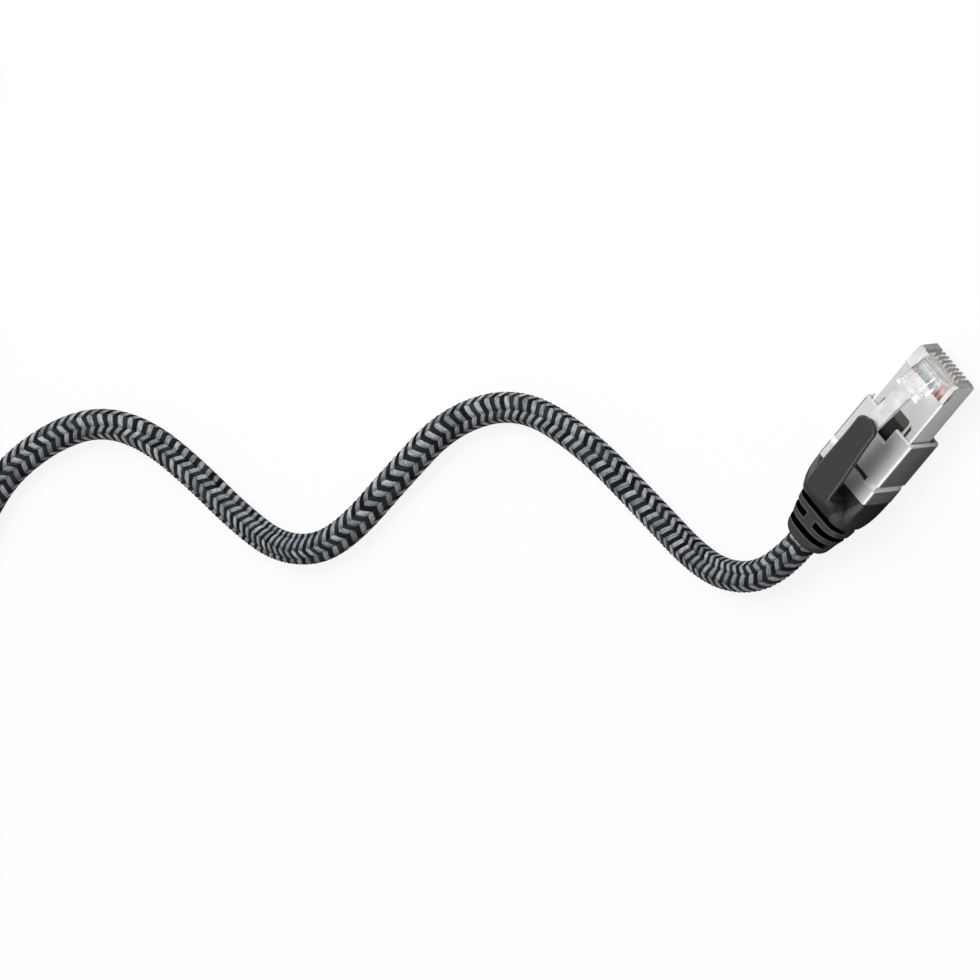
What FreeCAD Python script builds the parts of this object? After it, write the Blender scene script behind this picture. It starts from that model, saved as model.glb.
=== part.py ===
import FreeCAD, Part
import math
import os
import Sketcher
from FreeCAD import Placement, Rotation, Vector

# A one metre network patch lead: two shielded 8-way modular plugs on a braided cord.
# Each connector is built in its own frame: +X to the plug's nose from the hood's mouth at x = 0,
# +Z to the latch side, z = 0 at the hood's middle. A connector's Placement then lays it down.
# The row frame stands on the surface, with its origin under the middle of the near connector.

doc = FreeCAD.newDocument("patch_lead")

# Driving dimensions in millimetres, one spreadsheet row each
DIMENSIONS = {
    # the modular plug
    "plug_width": 11.68,
    "plug_thickness": 6.5,
    "plug_length": 21.5,
    "plug_top": 3.85,
    "nose_x": 14.4,
    "nose_chamfer": 0.6,
    "sheet_thickness": 0.2,
    "sheet_gap": 0.04,
    # contacts
    "contact_pitch": 1.016,
    "contact_thickness": 0.32,
    "contact_length": 5.1,
    "contact_slot_width": 0.5,
    "contact_slot_length": 6.0,
    "contact_slot_depth": 2.85,
    "contact_recess": 0.3,
    "contact_setback": 0.8,
    "contact_corner": 0.5,
    "tooth_height": 0.55,
    # the cavity for wires, guide and pair manager, measured from the hood's mouth
    "cavity_front": 8.3,
    "cavity_half_width": 5.0,
    "cavity_floor": -1.95,
    "cavity_ceiling": 2.8,
    "channel_front": 12.6,
    "channel_above": 0.55,
    "channel_below": 0.48,
    "wire_diameter": 0.8,
    "wire_height": 0.93,
    "wire_front": 12.3,
    "guide_front": 8.2,
    "guide_length": 5.0,
    "guide_headroom": 0.6,
    "manager_front": 2.8,
    "manager_length": 9.9,
    "part_gap": 0.1,
    # the stamped shield
    "shield_top_front": 10.0,
    "shield_side_front": 14.1,
    "shield_step_height": 2.6,
    "shield_bottom_front": 7.0,
    "shield_rear": -9.0,
    "window_front": 2.8,
    "window_rear": -3.9,
    "window_half_width": 3.1,
    "window_corner": 0.7,
    "finger_width": 0.5,
    "side_window_width": 0.6,
    "side_window_taper": 0.7,
    "shield_lip": 0.6,
    "shield_slope": 0.8,
    "shield_hem": 0.7,
    # the latch
    "latch_width": 6.0,
    "tab_width": 3.24,
    "latch_axis_x": 13.2,
    "latch_axis_z": 3.95,
    "latch_knuckle": 0.55,
    "shoulder_x": 8.0,
    "shoulder_top": 7.5,
    "shoulder_height": 1.5,
    "shoulder_thickness": 1.0,
    "root_rear": 0.5,
    "root_front": 0.35,
    "tab_end_x": -0.6,
    "tab_end_top": 10.75,
    "tab_thickness": 1.1,
    # the hood
    "hood_length": 15.6,
    "hood_width": 13.9,
    "hood_thickness": 9.8,
    "hood_corner": 0.9,
    "hood_wall": 0.75,
    "notch_width": 4.4,
    "notch_length": 3.9,
    "groove_x": -10.8,
    "hood_edge": 0.2,
    "groove_width": 1.3,
    "groove_depth": 0.4,
    "slot_width": 7.6,
    # the boot and its lever
    "boot_end_x": -23.3,
    "spigot_front": -9.6,
    "spigot_bore": 4.0,
    "hump_front": -17.35,
    "tongue_front": -1.0,
    "tongue_width": 10.0,
    "lever_axis_x": -17.3,
    "lever_axis_z": 9.75,
    "lever_root_width": 6.2,
    "lever_tip_width": 5.04,
    "lever_tip_x": 0.95,
    "lever_tip_top": 12.2,
    "lever_thickness": 1.2,
    "lever_tip_corner": 1.8,
    "hinge_gap": 0.06,
    # the strain relief
    "relief_end_x": -31.8,
    "relief_slot": 1.2,
    "relief_bore": 3.05,
    "bridge_half": 1.25,
    # the cable and its inner parts
    "cable_diameter": 6.0,
    "cable_axis_z": -0.4,
    "jacket_front": -10.2,
    "screen_diameter": 1.9,
    "screen_offset": 1.0,
    "braid_thickness": 0.2,
    "braid_length": 4.0,
    "crimp_thickness": 0.35,
    "crimp_length": 3.6,
    # the coil and its tie
    "coil_radius": 34.8,
    "coil_step": 6.8,
    "coil_layer": 6.6,
    "coil_centre_x": -178.0,
    "coil_centre_y": 165.0,
    "tie_thickness": 0.8,
    "tie_width": 9.0,
    "tie_gap": 0.05,
    "tie_slack": 0.3,
    "tie_corner": 1.8,
}
CONTACTS = 8
COIL_ENTRY_DEG = 285.0
COIL_TURN_DEG = 1275.0
COIL_CLIMB_DEG = 180.0
COIL_SAMPLES = 600
BEND_SHARE = 0.45

# Route of the free stretch, from the near strain relief to the coil, chosen by eye in whole waves
FREE_ROUTE = [
    (-29.9, 0.0, 4.5),
    (-38.6, 3.7, 3.7),
    (-44.3, 12.2, 3.0),
    (-45.4, 29.0, 3.0),
    (-46.8, 47.0, 3.0),
    (-52.0, 63.0, 3.0),
    (-66.0, 71.6, 3.0),
    (-83.0, 72.6, 3.0),
    (-97.0, 73.0, 3.0),
    (-106.0, 75.6, 3.0),
    (-112.2, 82.4, 3.0),
    (-114.6, 92.3, 3.0),
    (-116.1, 106.0, 3.0),
    (-118.6, 118.0, 3.0),
    (-124.5, 127.5, 3.0),
    (-134.5, 133.2, 3.0),
    (-147.0, 136.0, 3.0),
    (-156.2, 134.4, 3.85),
]
# Route of the tail, from the coil's top layer down to the far strain relief
TAIL_ROUTE = [
    (-165.0, 200.2, 10.45),
    (-156.7, 199.2, 7.7),
    (-148.0, 198.2, 4.5),
]
FAR_POSITION = Vector(-108.2, 198.2, 0.0)

sheet = doc.addObject("Spreadsheet::Sheet", "dims")
for row, (alias, size) in enumerate(DIMENSIONS.items(), start=1):
    sheet.set(f"A{row}", alias)
    sheet.set(f"B{row}", str(size))
    sheet.setAlias(f"B{row}", alias)
doc.recompute()


def size_of(alias):
    """The value of a spreadsheet cell, for the shapes worked out in code."""
    return float(getattr(sheet, alias))


# Sketch and feature helpers. Sizes are expressions of the sheet's aliases, such as "hood_width / 2".


def bound(text):
    """An expression with the sheet's name before every alias in it."""
    for alias in sorted(DIMENSIONS, key=len, reverse=True):
        text = text.replace(alias, f"<{len(alias)}:{list(DIMENSIONS).index(alias)}>")
    for index, alias in enumerate(DIMENSIONS):
        text = text.replace(f"<{len(alias)}:{index}>", f"dims.{alias}")
    return text


def origin_plane(body, role):
    return next(f for f in body.Origin.OriginFeatures if f.Role == role)


def new_sketch(body, plane, lift):
    """A sketch on one of the body's own planes, lifted along that plane's normal."""
    sketch = body.newObject("Sketcher::SketchObject", "sketch")
    sketch.AttachmentSupport = [(origin_plane(body, plane), "")]
    sketch.MapMode = "FlatFace"
    sketch.setExpression("AttachmentOffset.Base.z", bound(lift))
    return sketch


def pin(sketch, kind, element, position, expression):
    """Holds one coordinate or radius of a sketch element at an expression of the sheet."""
    if kind == "Radius":
        index = sketch.addConstraint(Sketcher.Constraint(kind, element, 1.0))
    else:
        index = sketch.addConstraint(Sketcher.Constraint(kind, element, position, 1.0))
    sketch.setExpression(f"Constraints[{index}]", bound(expression))


def outline(body, plane, corners, lift="0"):
    """A closed polygon through corners, each a pair of expressions."""
    sketch = new_sketch(body, plane, lift)
    count = len(corners)
    start = [
        Vector(10 * math.cos(2 * math.pi * k / count), 10 * math.sin(2 * math.pi * k / count), 0)
        for k in range(count)
    ]
    for k in range(count):
        sketch.addGeometry(Part.LineSegment(start[k], start[(k + 1) % count]), False)
    for k in range(count):
        sketch.addConstraint(Sketcher.Constraint("Coincident", k, 2, (k + 1) % count, 1))
    for k, (across, up) in enumerate(corners):
        pin(sketch, "DistanceX", k, 1, across)
        pin(sketch, "DistanceY", k, 1, up)
    return sketch


def box_outline(body, plane, low_x, high_x, low_y, high_y, lift="0"):
    corners = [(low_x, low_y), (high_x, low_y), (high_x, high_y), (low_x, high_y)]
    return outline(body, plane, corners, lift)


def disc(body, plane, across, up, radius, lift="0"):
    sketch = new_sketch(body, plane, lift)
    sketch.addGeometry(Part.Circle(Vector(0, 0, 0), Vector(0, 0, 1), 1.0), False)
    pin(sketch, "DistanceX", 0, 3, across)
    pin(sketch, "DistanceY", 0, 3, up)
    pin(sketch, "Radius", 0, 0, radius)
    return sketch


def rounded_section(body, station, half_width, half_height, corner, middle):
    """A rounded rectangle across the connector at x = station, with plain numbers for its sizes."""
    sketch = new_sketch(body, "YZ_Plane", station)
    reach_y, reach_z = half_width - corner, half_height - corner
    centres = [(reach_y, reach_z), (-reach_y, reach_z), (-reach_y, -reach_z), (reach_y, -reach_z)]
    for k, (across, up) in enumerate(centres):
        circle = Part.Circle(Vector(across, up + middle, 0), Vector(0, 0, 1), corner)
        sketch.addGeometry(
            Part.ArcOfCircle(circle, k * math.pi / 2, (k + 1) * math.pi / 2), False
        )
    for k, (across, up) in enumerate(centres):
        turned = (k + 1) * math.pi / 2
        step = Vector(corner * math.cos(turned), corner * math.sin(turned), 0)
        first = Vector(across, up + middle, 0) + step
        last = Vector(*centres[(k + 1) % 4], 0) + Vector(0, middle, 0) + step
        sketch.addGeometry(Part.LineSegment(first, last), False)
    for k in range(4):
        sketch.addConstraint(Sketcher.Constraint("Tangent", k, 2, 4 + k, 1))
        sketch.addConstraint(Sketcher.Constraint("Tangent", 4 + k, 2, (k + 1) % 4, 1))
        sketch.addConstraint(Sketcher.Constraint("DistanceX", k, 3, centres[k][0]))
        sketch.addConstraint(Sketcher.Constraint("DistanceY", k, 3, centres[k][1] + middle))
    sketch.addConstraint(Sketcher.Constraint("Radius", 0, corner))
    return sketch


def feature(body, kind, sketch, length, symmetric=False, backwards=False):
    """A Pad or Pocket of a sketch."""
    made = body.newObject(f"PartDesign::{kind}", kind.lower())
    made.Profile = sketch
    made.setExpression("Length", bound(length))
    if symmetric:
        made.SideType = "Symmetric"
    made.Reversed = backwards
    body.Tip = made
    return made


def loft(body, sections):
    made = body.newObject("PartDesign::AdditiveLoft", "loft")
    made.Profile = sections[0]
    made.Sections = sections[1:]
    body.Tip = made
    return made


def ease(body, kind, size, wanted):
    """A Fillet or Chamfer of the tip's edges that the test picks by their middle and their ends."""
    doc.recompute()
    base = body.Tip
    names = []
    for index, edge in enumerate(base.Shape.Edges, start=1):
        ends = edge.Vertexes[-1].Point - edge.Vertexes[0].Point
        if wanted(edge.CenterOfMass, ends):
            names.append(f"Edge{index}")
    made = body.newObject(f"PartDesign::{kind}", kind.lower())
    made.Base = (base, names)
    made.setExpression("Radius" if kind == "Fillet" else "Size", bound(size))
    body.Tip = made
    return made


def copies_across(body, original, count, pitch):
    """Repeats a pocket along Y, both ways from the middle one of an even row."""
    made = body.newObject("PartDesign::LinearPattern", "row")
    made.Originals = [original]
    made.Direction = (origin_plane(body, "XZ_Plane"), [""])
    made.setExpression("Length", bound(f"{pitch} * {count - 1}"))
    made.Occurrences = count
    body.Tip = made
    return made


def along(direction, ends):
    """True where an edge's ends lie along one axis."""
    return ends.Length > 1e-6 and abs(ends.normalize().dot(direction)) > 0.999


def new_body(label):
    body = doc.addObject("PartDesign::Body", label)
    body.Label = label
    return body


def new_solid(label, shape):
    made = doc.addObject("Part::Feature", label)
    made.Label = label
    made.Shape = shape
    return made


# Bent round stock: straight runs joined by tangent arcs


def rounded_path(points):
    """A wire of straight runs and tangent arcs through a route, and the arcs' radii."""
    edges, radii = [], []
    reached = points[0]
    for before, corner, after in zip(points, points[1:], points[2:]):
        back, ahead = before - corner, after - corner
        shorter = min(back.Length, ahead.Length)
        half_turn = (math.pi - back.getAngle(ahead)) / 2
        back.normalize()
        ahead.normalize()
        tangent = BEND_SHARE * shorter
        radius = tangent / math.tan(half_turn)
        inward = (back + ahead).normalize()
        middle = corner + inward * (radius / math.cos(half_turn) - radius)
        first, last = corner + back * tangent, corner + ahead * tangent
        edges.append(Part.LineSegment(reached, first).toShape())
        edges.append(Part.Arc(first, middle, last).toShape())
        reached = last
        radii.append(radius)
    edges.append(Part.LineSegment(reached, points[-1]).toShape())
    return Part.Wire(edges), radii


def round_stock(path, start, heading, diameter):
    """A solid round bar along a wire."""
    ring = Part.Wire([Part.Circle(start, heading, diameter / 2).toShape()])
    return path.makePipeShell([ring], True, False)


def tube_along(points, diameter, name=None):
    path, radii = rounded_path(points)
    solid = round_stock(path, points[0], points[1] - points[0], diameter)
    if name:
        wanted = path.Length * math.pi * diameter**2 / 4
        print(
            f"{name}: {path.Length:.1f} mm long, bends from {min(radii):.1f} to {max(radii):.1f} mm,"
            f" volume {solid.Volume / wanted:.4f} of section times length"
        )
        print("  radii:", " ".join(f"{r:.1f}" for r in radii))
    return solid


# The plug


def make_plug_body(name):
    """The clear moulding that goes into the jack."""
    body = new_body(name)
    skin = "(sheet_thickness + sheet_gap)"
    half = f"plug_width / 2 - {skin}"
    top = f"plug_top - {skin}"
    floor = f"plug_top - plug_thickness + {skin}"
    side = [
        ("nose_x - plug_length", floor),
        ("nose_x", floor),
        ("nose_x", f"{top} - nose_chamfer"),
        ("nose_x - nose_chamfer", top),
        ("nose_x - plug_length", top),
    ]
    feature(body, "Pad", outline(body, "XZ_Plane", side), f"2 * ({half})", symmetric=True)
    cavity = box_outline(
        body, "YZ_Plane", "-cavity_half_width", "cavity_half_width", "cavity_floor",
        "cavity_ceiling", "nose_x - plug_length",
    )
    feature(body, "Pocket", cavity, "plug_length - nose_x + cavity_front", backwards=True)
    wire_top, wire_low = "wire_height + channel_above", "wire_height - channel_below"
    reach = f"contact_pitch * {CONTACTS / 2}"
    channel = box_outline(
        body, "YZ_Plane", f"-{reach}", reach, wire_low, wire_top, "cavity_front"
    )
    feature(body, "Pocket", channel, "channel_front - cavity_front", backwards=True)
    roof = box_outline(
        body, "XY_Plane", "nose_x - plug_length - 1", "window_front", "-window_half_width",
        "window_half_width", "plug_top + 1",
    )
    feature(body, "Pocket", roof, "plug_top + 1 - cavity_ceiling")
    first = f"contact_pitch * {(CONTACTS - 1) / 2}"
    slot = box_outline(
        body, "YZ_Plane", f"{first} - contact_slot_width / 2", f"{first} + contact_slot_width / 2",
        f"{floor} - 1", f"{floor} + contact_slot_depth", "nose_x - contact_slot_length",
    )
    cut = feature(body, "Pocket", slot, "contact_slot_length + 1", backwards=True)
    copies_across(body, cut, CONTACTS, "contact_pitch")
    seat = disc(body, "XZ_Plane", "latch_axis_x", "latch_axis_z", "latch_knuckle + hinge_gap")
    feature(body, "Pocket", seat, "latch_width + 2 * hinge_gap", symmetric=True)
    return body


def make_latch(name):
    """The spring tab: a wide root that ends in two shoulders, and a narrow tab that rises behind."""
    body = new_body(name)
    rise = "(tab_end_top - shoulder_top - tab_thickness) / (shoulder_x - tab_end_x)"
    front_x = "shoulder_x + shoulder_height"
    front_top = f"shoulder_top + tab_thickness - shoulder_height * {rise}"
    root_low = ("latch_axis_x + root_front", "latch_axis_z - 0.25")
    root_back = ("latch_axis_x - root_rear", "latch_axis_z - 0.1")
    tab = [
        root_low,
        ("latch_axis_x + root_rear", "latch_axis_z + 0.3"),
        (front_x, front_top),
        ("tab_end_x", "tab_end_top"),
        ("tab_end_x", "tab_end_top - tab_thickness"),
        ("shoulder_x + shoulder_thickness", "shoulder_top - 0.55"),
        root_back,
    ]
    feature(body, "Pad", outline(body, "XZ_Plane", tab), "tab_width", symmetric=True)
    plate = [
        root_low,
        ("latch_axis_x + 0.45", "latch_axis_z + 0.35"),
        ("shoulder_x + 1.2", "shoulder_top"),
        ("shoulder_x", "shoulder_top + 0.1"),
        ("shoulder_x", "shoulder_top - shoulder_height"),
        ("shoulder_x + shoulder_thickness", "shoulder_top - shoulder_height"),
        root_back,
    ]
    feature(body, "Pad", outline(body, "XZ_Plane", plate), "latch_width", symmetric=True)
    knuckle = disc(body, "XZ_Plane", "latch_axis_x", "latch_axis_z", "latch_knuckle")
    feature(body, "Pad", knuckle, "latch_width", symmetric=True)
    return body


def make_contacts(name):
    """Eight gold-plated blades, one in each slot, with piercing teeth towards the wires."""
    floor = size_of("plug_top") - size_of("plug_thickness") + size_of("contact_recess")
    front = size_of("nose_x") - size_of("contact_setback")
    rear = front - size_of("contact_length")
    height, corner = size_of("tooth_height"), size_of("contact_corner")
    tip = size_of("wire_height") - size_of("wire_diameter") / 2 - size_of("part_gap") / 2
    root = tip - height
    tooth = size_of("contact_length") / 4
    corners = [
        (rear, floor), (front - corner, floor), (front, floor + corner), (front, root),
        (front - 0.5 * tooth, tip), (front - tooth, root), (front - 2.5 * tooth, root),
        (front - 3.0 * tooth, tip), (front - 3.5 * tooth, root), (rear, root),
    ]
    thick = size_of("contact_thickness")
    blades = []
    for k in range(CONTACTS):
        across = (k - (CONTACTS - 1) / 2) * size_of("contact_pitch") - thick / 2
        points = [Vector(x, across, z) for x, z in corners]
        face = Part.Face(Part.makePolygon(points + points[:1]))
        blades.append(face.extrude(Vector(0, thick, 0)))
    return new_solid(name, Part.makeCompound(blades))


def make_wire_guide(name):
    """The load bar, a comb whose channels hold the eight wires at the contacts' pitch."""
    body = new_body(name)
    half = "cavity_half_width - part_gap"
    block = box_outline(
        body, "YZ_Plane", f"-({half})", half, "cavity_floor + part_gap",
        "cavity_ceiling - part_gap - guide_headroom", "guide_front - guide_length",
    )
    feature(body, "Pad", block, "guide_length")
    first = f"contact_pitch * {(CONTACTS - 1) / 2}"
    reach = "(wire_diameter / 2 + sheet_gap)"
    channel = box_outline(
        body, "YZ_Plane", f"{first} - {reach}", f"{first} + {reach}", f"wire_height - {reach}",
        "cavity_ceiling", "guide_front - guide_length",
    )
    cut = feature(body, "Pocket", channel, "guide_length + 1", backwards=True)
    copies_across(body, cut, CONTACTS, "contact_pitch")
    return body


def make_pair_manager(name):
    """The dark block behind the load bar, inside which the four pairs fan out to eight wires."""
    body = new_body(name)
    half = "cavity_half_width - part_gap"
    block = box_outline(
        body, "YZ_Plane", f"-({half})", half, "cavity_floor + part_gap",
        "cavity_ceiling - part_gap", "manager_front - manager_length",
    )
    feature(body, "Pad", block, "manager_length")
    return body


def make_wires(name, pins):
    """The two wires of one colour pair, from the pair manager through the load bar to the contacts."""
    start_x, radius = size_of("manager_front"), size_of("wire_diameter") / 2
    wires = []
    for position in pins:
        across = (position - (CONTACTS - 1) / 2) * size_of("contact_pitch")
        start = Vector(start_x, across, size_of("wire_height"))
        length = size_of("wire_front") - start_x
        wires.append(Part.makeCylinder(radius, length, start, Vector(1, 0, 0)))
    return new_solid(name, Part.makeCompound(wires))


def make_pair_screens(name):
    """Foil round each of the four pairs, from the cable's core to where the wires part."""
    front, rear = size_of("manager_front") - size_of("manager_length"), size_of("jacket_front")
    offset = size_of("screen_offset")
    solids = []
    for side_y in (-1, 1):
        for side_z in (-1, 1):
            start = Vector(rear, side_y * offset, size_of("cable_axis_z") + side_z * offset)
            radius = size_of("screen_diameter") / 2
            solids.append(Part.makeCylinder(radius, front - rear, start, Vector(1, 0, 0)))
    return new_solid(name, Part.makeCompound(solids))


def make_shield(name):
    """The stamped screen round the plug, with its window under the latch."""
    body = new_body(name)
    half, top, floor = "plug_width / 2", "plug_top", "plug_top - plug_thickness"
    length = "shield_side_front - shield_rear"
    outer = box_outline(body, "YZ_Plane", f"-{half}", half, floor, top, "shield_rear")
    feature(body, "Pad", outer, length)
    inner = box_outline(
        body, "YZ_Plane", f"-({half} - sheet_thickness)", f"{half} - sheet_thickness",
        f"{floor} + sheet_thickness", f"{top} - sheet_thickness", "shield_rear",
    )
    feature(body, "Pocket", inner, length, backwards=True)
    step = [
        ("shield_top_front", f"{top} + 1"),
        ("shield_top_front", f"{top} - shield_lip"),
        ("shield_top_front + shield_slope", "shield_step_height"),
        ("shield_side_front + 1", "shield_step_height"),
        ("shield_side_front + 1", f"{top} + 1"),
    ]
    feature(body, "Pocket", outline(body, "XZ_Plane", step), "plug_width + 2", symmetric=True)
    under = box_outline(
        body, "XZ_Plane", "shield_bottom_front", "shield_side_front + 1", f"{floor} - 1",
        f"{floor} + shield_hem",
    )
    feature(body, "Pocket", under, "plug_width - 2 * sheet_thickness", symmetric=True)
    window = box_outline(
        body, "XY_Plane", "window_rear", "window_front", "-window_half_width",
        "window_half_width", "plug_top + 1",
    )
    feature(body, "Pocket", window, "2")
    inside = "window_half_width + finger_width"
    strip_front = "window_front - shield_lip / 2"
    for sign in ("", "-"):
        near_edge, far_edge = f"{sign}({inside})", f"{sign}({inside} + side_window_width)"
        strip = [
            ("window_rear", near_edge),
            (strip_front, near_edge),
            (f"{strip_front} - side_window_taper", far_edge),
            ("window_rear", far_edge),
        ]
        feature(body, "Pocket", outline(body, "XY_Plane", strip, "plug_top + 1"), "2")
    ease(
        body, "Fillet", "window_corner",
        lambda middle, ends: along(Vector(0, 0, 1), ends)
        and middle.z > size_of("plug_top") - 0.3
        and abs(abs(middle.y) - size_of("window_half_width")) < 0.01
        and middle.x > size_of("window_front") - 0.1,
    )
    return body


# The hood, the boot and the strain relief


def make_hood(name):
    """The metal sleeve: a notch for the latch tab, and a band groove with a slot on top."""
    body = new_body(name)
    half, high = size_of("hood_width") / 2, size_of("hood_thickness") / 2
    section = rounded_section(body, "-hood_length", half, high, size_of("hood_corner"), 0)
    feature(body, "Pad", section, "hood_length")
    halfway = size_of("hood_length") / 2
    ease(
        body, "Chamfer", "hood_edge",
        lambda middle, ends: abs(middle.x + halfway) > halfway - 0.01,
    )
    width, height = "hood_width / 2 - hood_wall", "hood_thickness / 2 - hood_wall"
    inside = box_outline(
        body, "YZ_Plane", f"-({width})", width, f"-({height})", f"{height} - 0.1", "-hood_length"
    )
    feature(body, "Pocket", inside, "hood_length", backwards=True)
    notch = box_outline(
        body, "XY_Plane", "-notch_length", "1", "-notch_width / 2", "notch_width / 2",
        "hood_thickness / 2 + 1",
    )
    feature(body, "Pocket", notch, "1.5 + hood_wall")
    band = new_sketch(body, "YZ_Plane", "groove_x - groove_width")
    depth = size_of("groove_depth")
    for reach_y, reach_z in ((half + 2, high + 2), (half - depth, high - depth)):
        corners = [(reach_y, reach_z), (-reach_y, reach_z), (-reach_y, -reach_z), (reach_y, -reach_z)]
        first = band.GeometryCount
        for k in range(4):
            ends = Vector(*corners[k], 0), Vector(*corners[(k + 1) % 4], 0)
            band.addGeometry(Part.LineSegment(*ends), False)
        for k in range(4):
            band.addConstraint(
                Sketcher.Constraint("Coincident", first + k, 2, first + (k + 1) % 4, 1)
            )
            band.addConstraint(Sketcher.Constraint("DistanceX", first + k, 1, corners[k][0]))
            band.addConstraint(Sketcher.Constraint("DistanceY", first + k, 1, corners[k][1]))
    feature(body, "Pocket", band, "groove_width", backwards=True)
    slot = box_outline(
        body, "XY_Plane", "groove_x - groove_width", "groove_x", "-slot_width / 2",
        "slot_width / 2", "hood_thickness / 2 + 1",
    )
    feature(body, "Pocket", slot, "2 + hood_wall")
    return body


# Sections of the boot: station x, half width, half height, corner radius, height of the middle
BOOT_SECTIONS = [
    ("-hood_length", 6.9, 4.84, 0.9, 0.0),
    ("-hood_length - 3.4", 6.88, 4.82, 1.4, 0.0),
    ("-hood_length - 5.6", 6.75, 4.7, 2.1, -0.1),
    ("boot_end_x", 6.2, 4.5, 2.6, -0.3),
]
HUMP_SECTIONS = [
    ("boot_end_x", 5.0, 2.0, 1.9, 2.0),
    ("boot_end_x + 1.6", 5.0, 3.5, 3.3, 3.1),
    ("boot_end_x + 3.7", 4.3, 4.6, 3.0, 4.5),
    ("hump_front", 3.1, 5.15, 0.9, 5.15),
]
RELIEF_SECTIONS = [
    ("boot_end_x", 6.15, 4.3, 2.8, -0.35),
    ("relief_end_x + 6.6", 6.0, 4.25, 3.3, -0.4),
    ("relief_end_x + 4.2", 5.5, 4.2, 3.7, -0.4),
    ("relief_end_x + 1.8", 4.95, 4.15, 3.9, -0.4),
    ("relief_end_x + 0.5", 4.55, 3.95, 3.8, -0.4),
    ("relief_end_x", 4.1, 3.6, 3.5, -0.4),
]
# Rows of slots: distance of the front wall behind the boot, top and bottom or left and right,
# half width and half height of the core left inside
RELIEF_ROWS = [
    (0.0, True, 4.7, 3.45),
    (2.6, False, 4.4, 3.45),
    (5.1, True, 4.0, 3.4),
]


def make_boot(name):
    """The moulded boot: a spigot inside the hood, a tapering body and the hump behind the lever."""
    body = new_body(name)
    loft(body, [rounded_section(body, *section) for section in BOOT_SECTIONS])
    side_gap = "(hood_wall + part_gap)"
    width, height = f"hood_width / 2 - {side_gap}", f"hood_thickness / 2 - {side_gap}"
    spigot = box_outline(
        body, "YZ_Plane", f"-({width})", width, f"-({height})", f"{height} - 0.1", "-hood_length"
    )
    feature(body, "Pad", spigot, "spigot_front + hood_length")
    rear = "boot_end_x"
    loft(body, [rounded_section(body, *section) for section in HUMP_SECTIONS])
    tongue = box_outline(
        body, "YZ_Plane", "-tongue_width / 2", "tongue_width / 2", f"-({height})",
        "plug_top - plug_thickness - sheet_gap", "spigot_front - 0.5",
    )
    feature(body, "Pad", tongue, "tongue_front - spigot_front + 0.5")
    bore = disc(body, "YZ_Plane", "0", "cable_axis_z", "relief_bore", rear)
    feature(body, "Pocket", bore, f"spigot_front - {rear}", backwards=True)
    crimp = disc(body, "YZ_Plane", "0", "cable_axis_z", "spigot_bore", "-hood_length")
    feature(body, "Pocket", crimp, "spigot_front + hood_length", backwards=True)
    seat = disc(
        body, "XZ_Plane", "lever_axis_x", "lever_axis_z", "lever_thickness / 2 + hinge_gap"
    )
    feature(body, "Pocket", seat, "lever_root_width + 2", symmetric=True)
    return body


def make_lever(name):
    """The press lever over the latch tab, on its thin hinge at the boot's hump."""
    body = new_body(name)
    fall = "(lever_tip_top - lever_axis_z - lever_thickness / 2) / (lever_tip_x - lever_axis_x)"
    side = [
        ("lever_axis_x", "lever_axis_z - lever_thickness / 2"),
        ("lever_tip_x - 0.4", "lever_tip_top - lever_thickness"),
        ("lever_tip_x", "lever_tip_top - lever_thickness + 0.4"),
        ("lever_tip_x", "lever_tip_top - 0.3"),
        ("lever_tip_x - 0.4", f"lever_tip_top - 0.4 * {fall}"),
        ("lever_axis_x", "lever_axis_z + lever_thickness / 2"),
    ]
    feature(body, "Pad", outline(body, "XZ_Plane", side), "lever_root_width", symmetric=True)
    knuckle = disc(body, "XZ_Plane", "lever_axis_x", "lever_axis_z", "lever_thickness / 2")
    feature(body, "Pad", knuckle, "lever_root_width", symmetric=True)
    for sign in ("", "-"):
        trim = [
            ("lever_tip_x + 1", f"{sign}(lever_tip_width / 2)"),
            ("lever_tip_x - 4", f"{sign}(lever_tip_width / 2)"),
            ("lever_axis_x + 3", f"{sign}(lever_root_width / 2)"),
            ("lever_axis_x + 3", f"{sign}(lever_root_width / 2 + 1)"),
            ("lever_tip_x + 1", f"{sign}(lever_root_width / 2 + 1)"),
        ]
        feature(body, "Pocket", outline(body, "XY_Plane", trim, "lever_tip_top + 2"), "9")
    ease(
        body, "Fillet", "lever_tip_corner",
        lambda middle, ends: along(Vector(0, 0, 1), ends)
        and middle.x > size_of("lever_tip_x") - 0.1,
    )
    return body


def relief_slots(body, behind, top_and_bottom, core_y, core_z):
    """One row of two slots down to the relief's core, with solid bridges left between them."""
    cut, far, bridge = 1.6, "9", "bridge_half"
    for sign in ("", "-"):
        if top_and_bottom:
            corners = [
                (f"-{far}", f"{sign}{bridge}"), (f"-{core_y}", f"{sign}{bridge}"),
                (f"-{core_y}", f"{sign}{core_z - cut}"), (f"-{core_y - cut}", f"{sign}{core_z}"),
                (f"{core_y - cut}", f"{sign}{core_z}"), (f"{core_y}", f"{sign}{core_z - cut}"),
                (f"{core_y}", f"{sign}{bridge}"), (far, f"{sign}{bridge}"), (far, f"{sign}{far}"),
                (f"-{far}", f"{sign}{far}"),
            ]
        else:
            corners = [
                (f"{sign}{bridge}", far), (f"{sign}{bridge}", f"{core_z}"),
                (f"{sign}{core_y - cut}", f"{core_z}"), (f"{sign}{core_y}", f"{core_z - cut}"),
                (f"{sign}{core_y}", f"-{core_z - cut}"), (f"{sign}{core_y - cut}", f"-{core_z}"),
                (f"{sign}{bridge}", f"-{core_z}"), (f"{sign}{bridge}", f"-{far}"),
                (f"{sign}{far}", f"-{far}"), (f"{sign}{far}", far),
            ]
        raised = [(across, f"{up} + cable_axis_z") for across, up in corners]
        row = outline(body, "YZ_Plane", raised, f"boot_end_x - {behind} - relief_slot")
        feature(body, "Pocket", row, "relief_slot", backwards=True)


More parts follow.
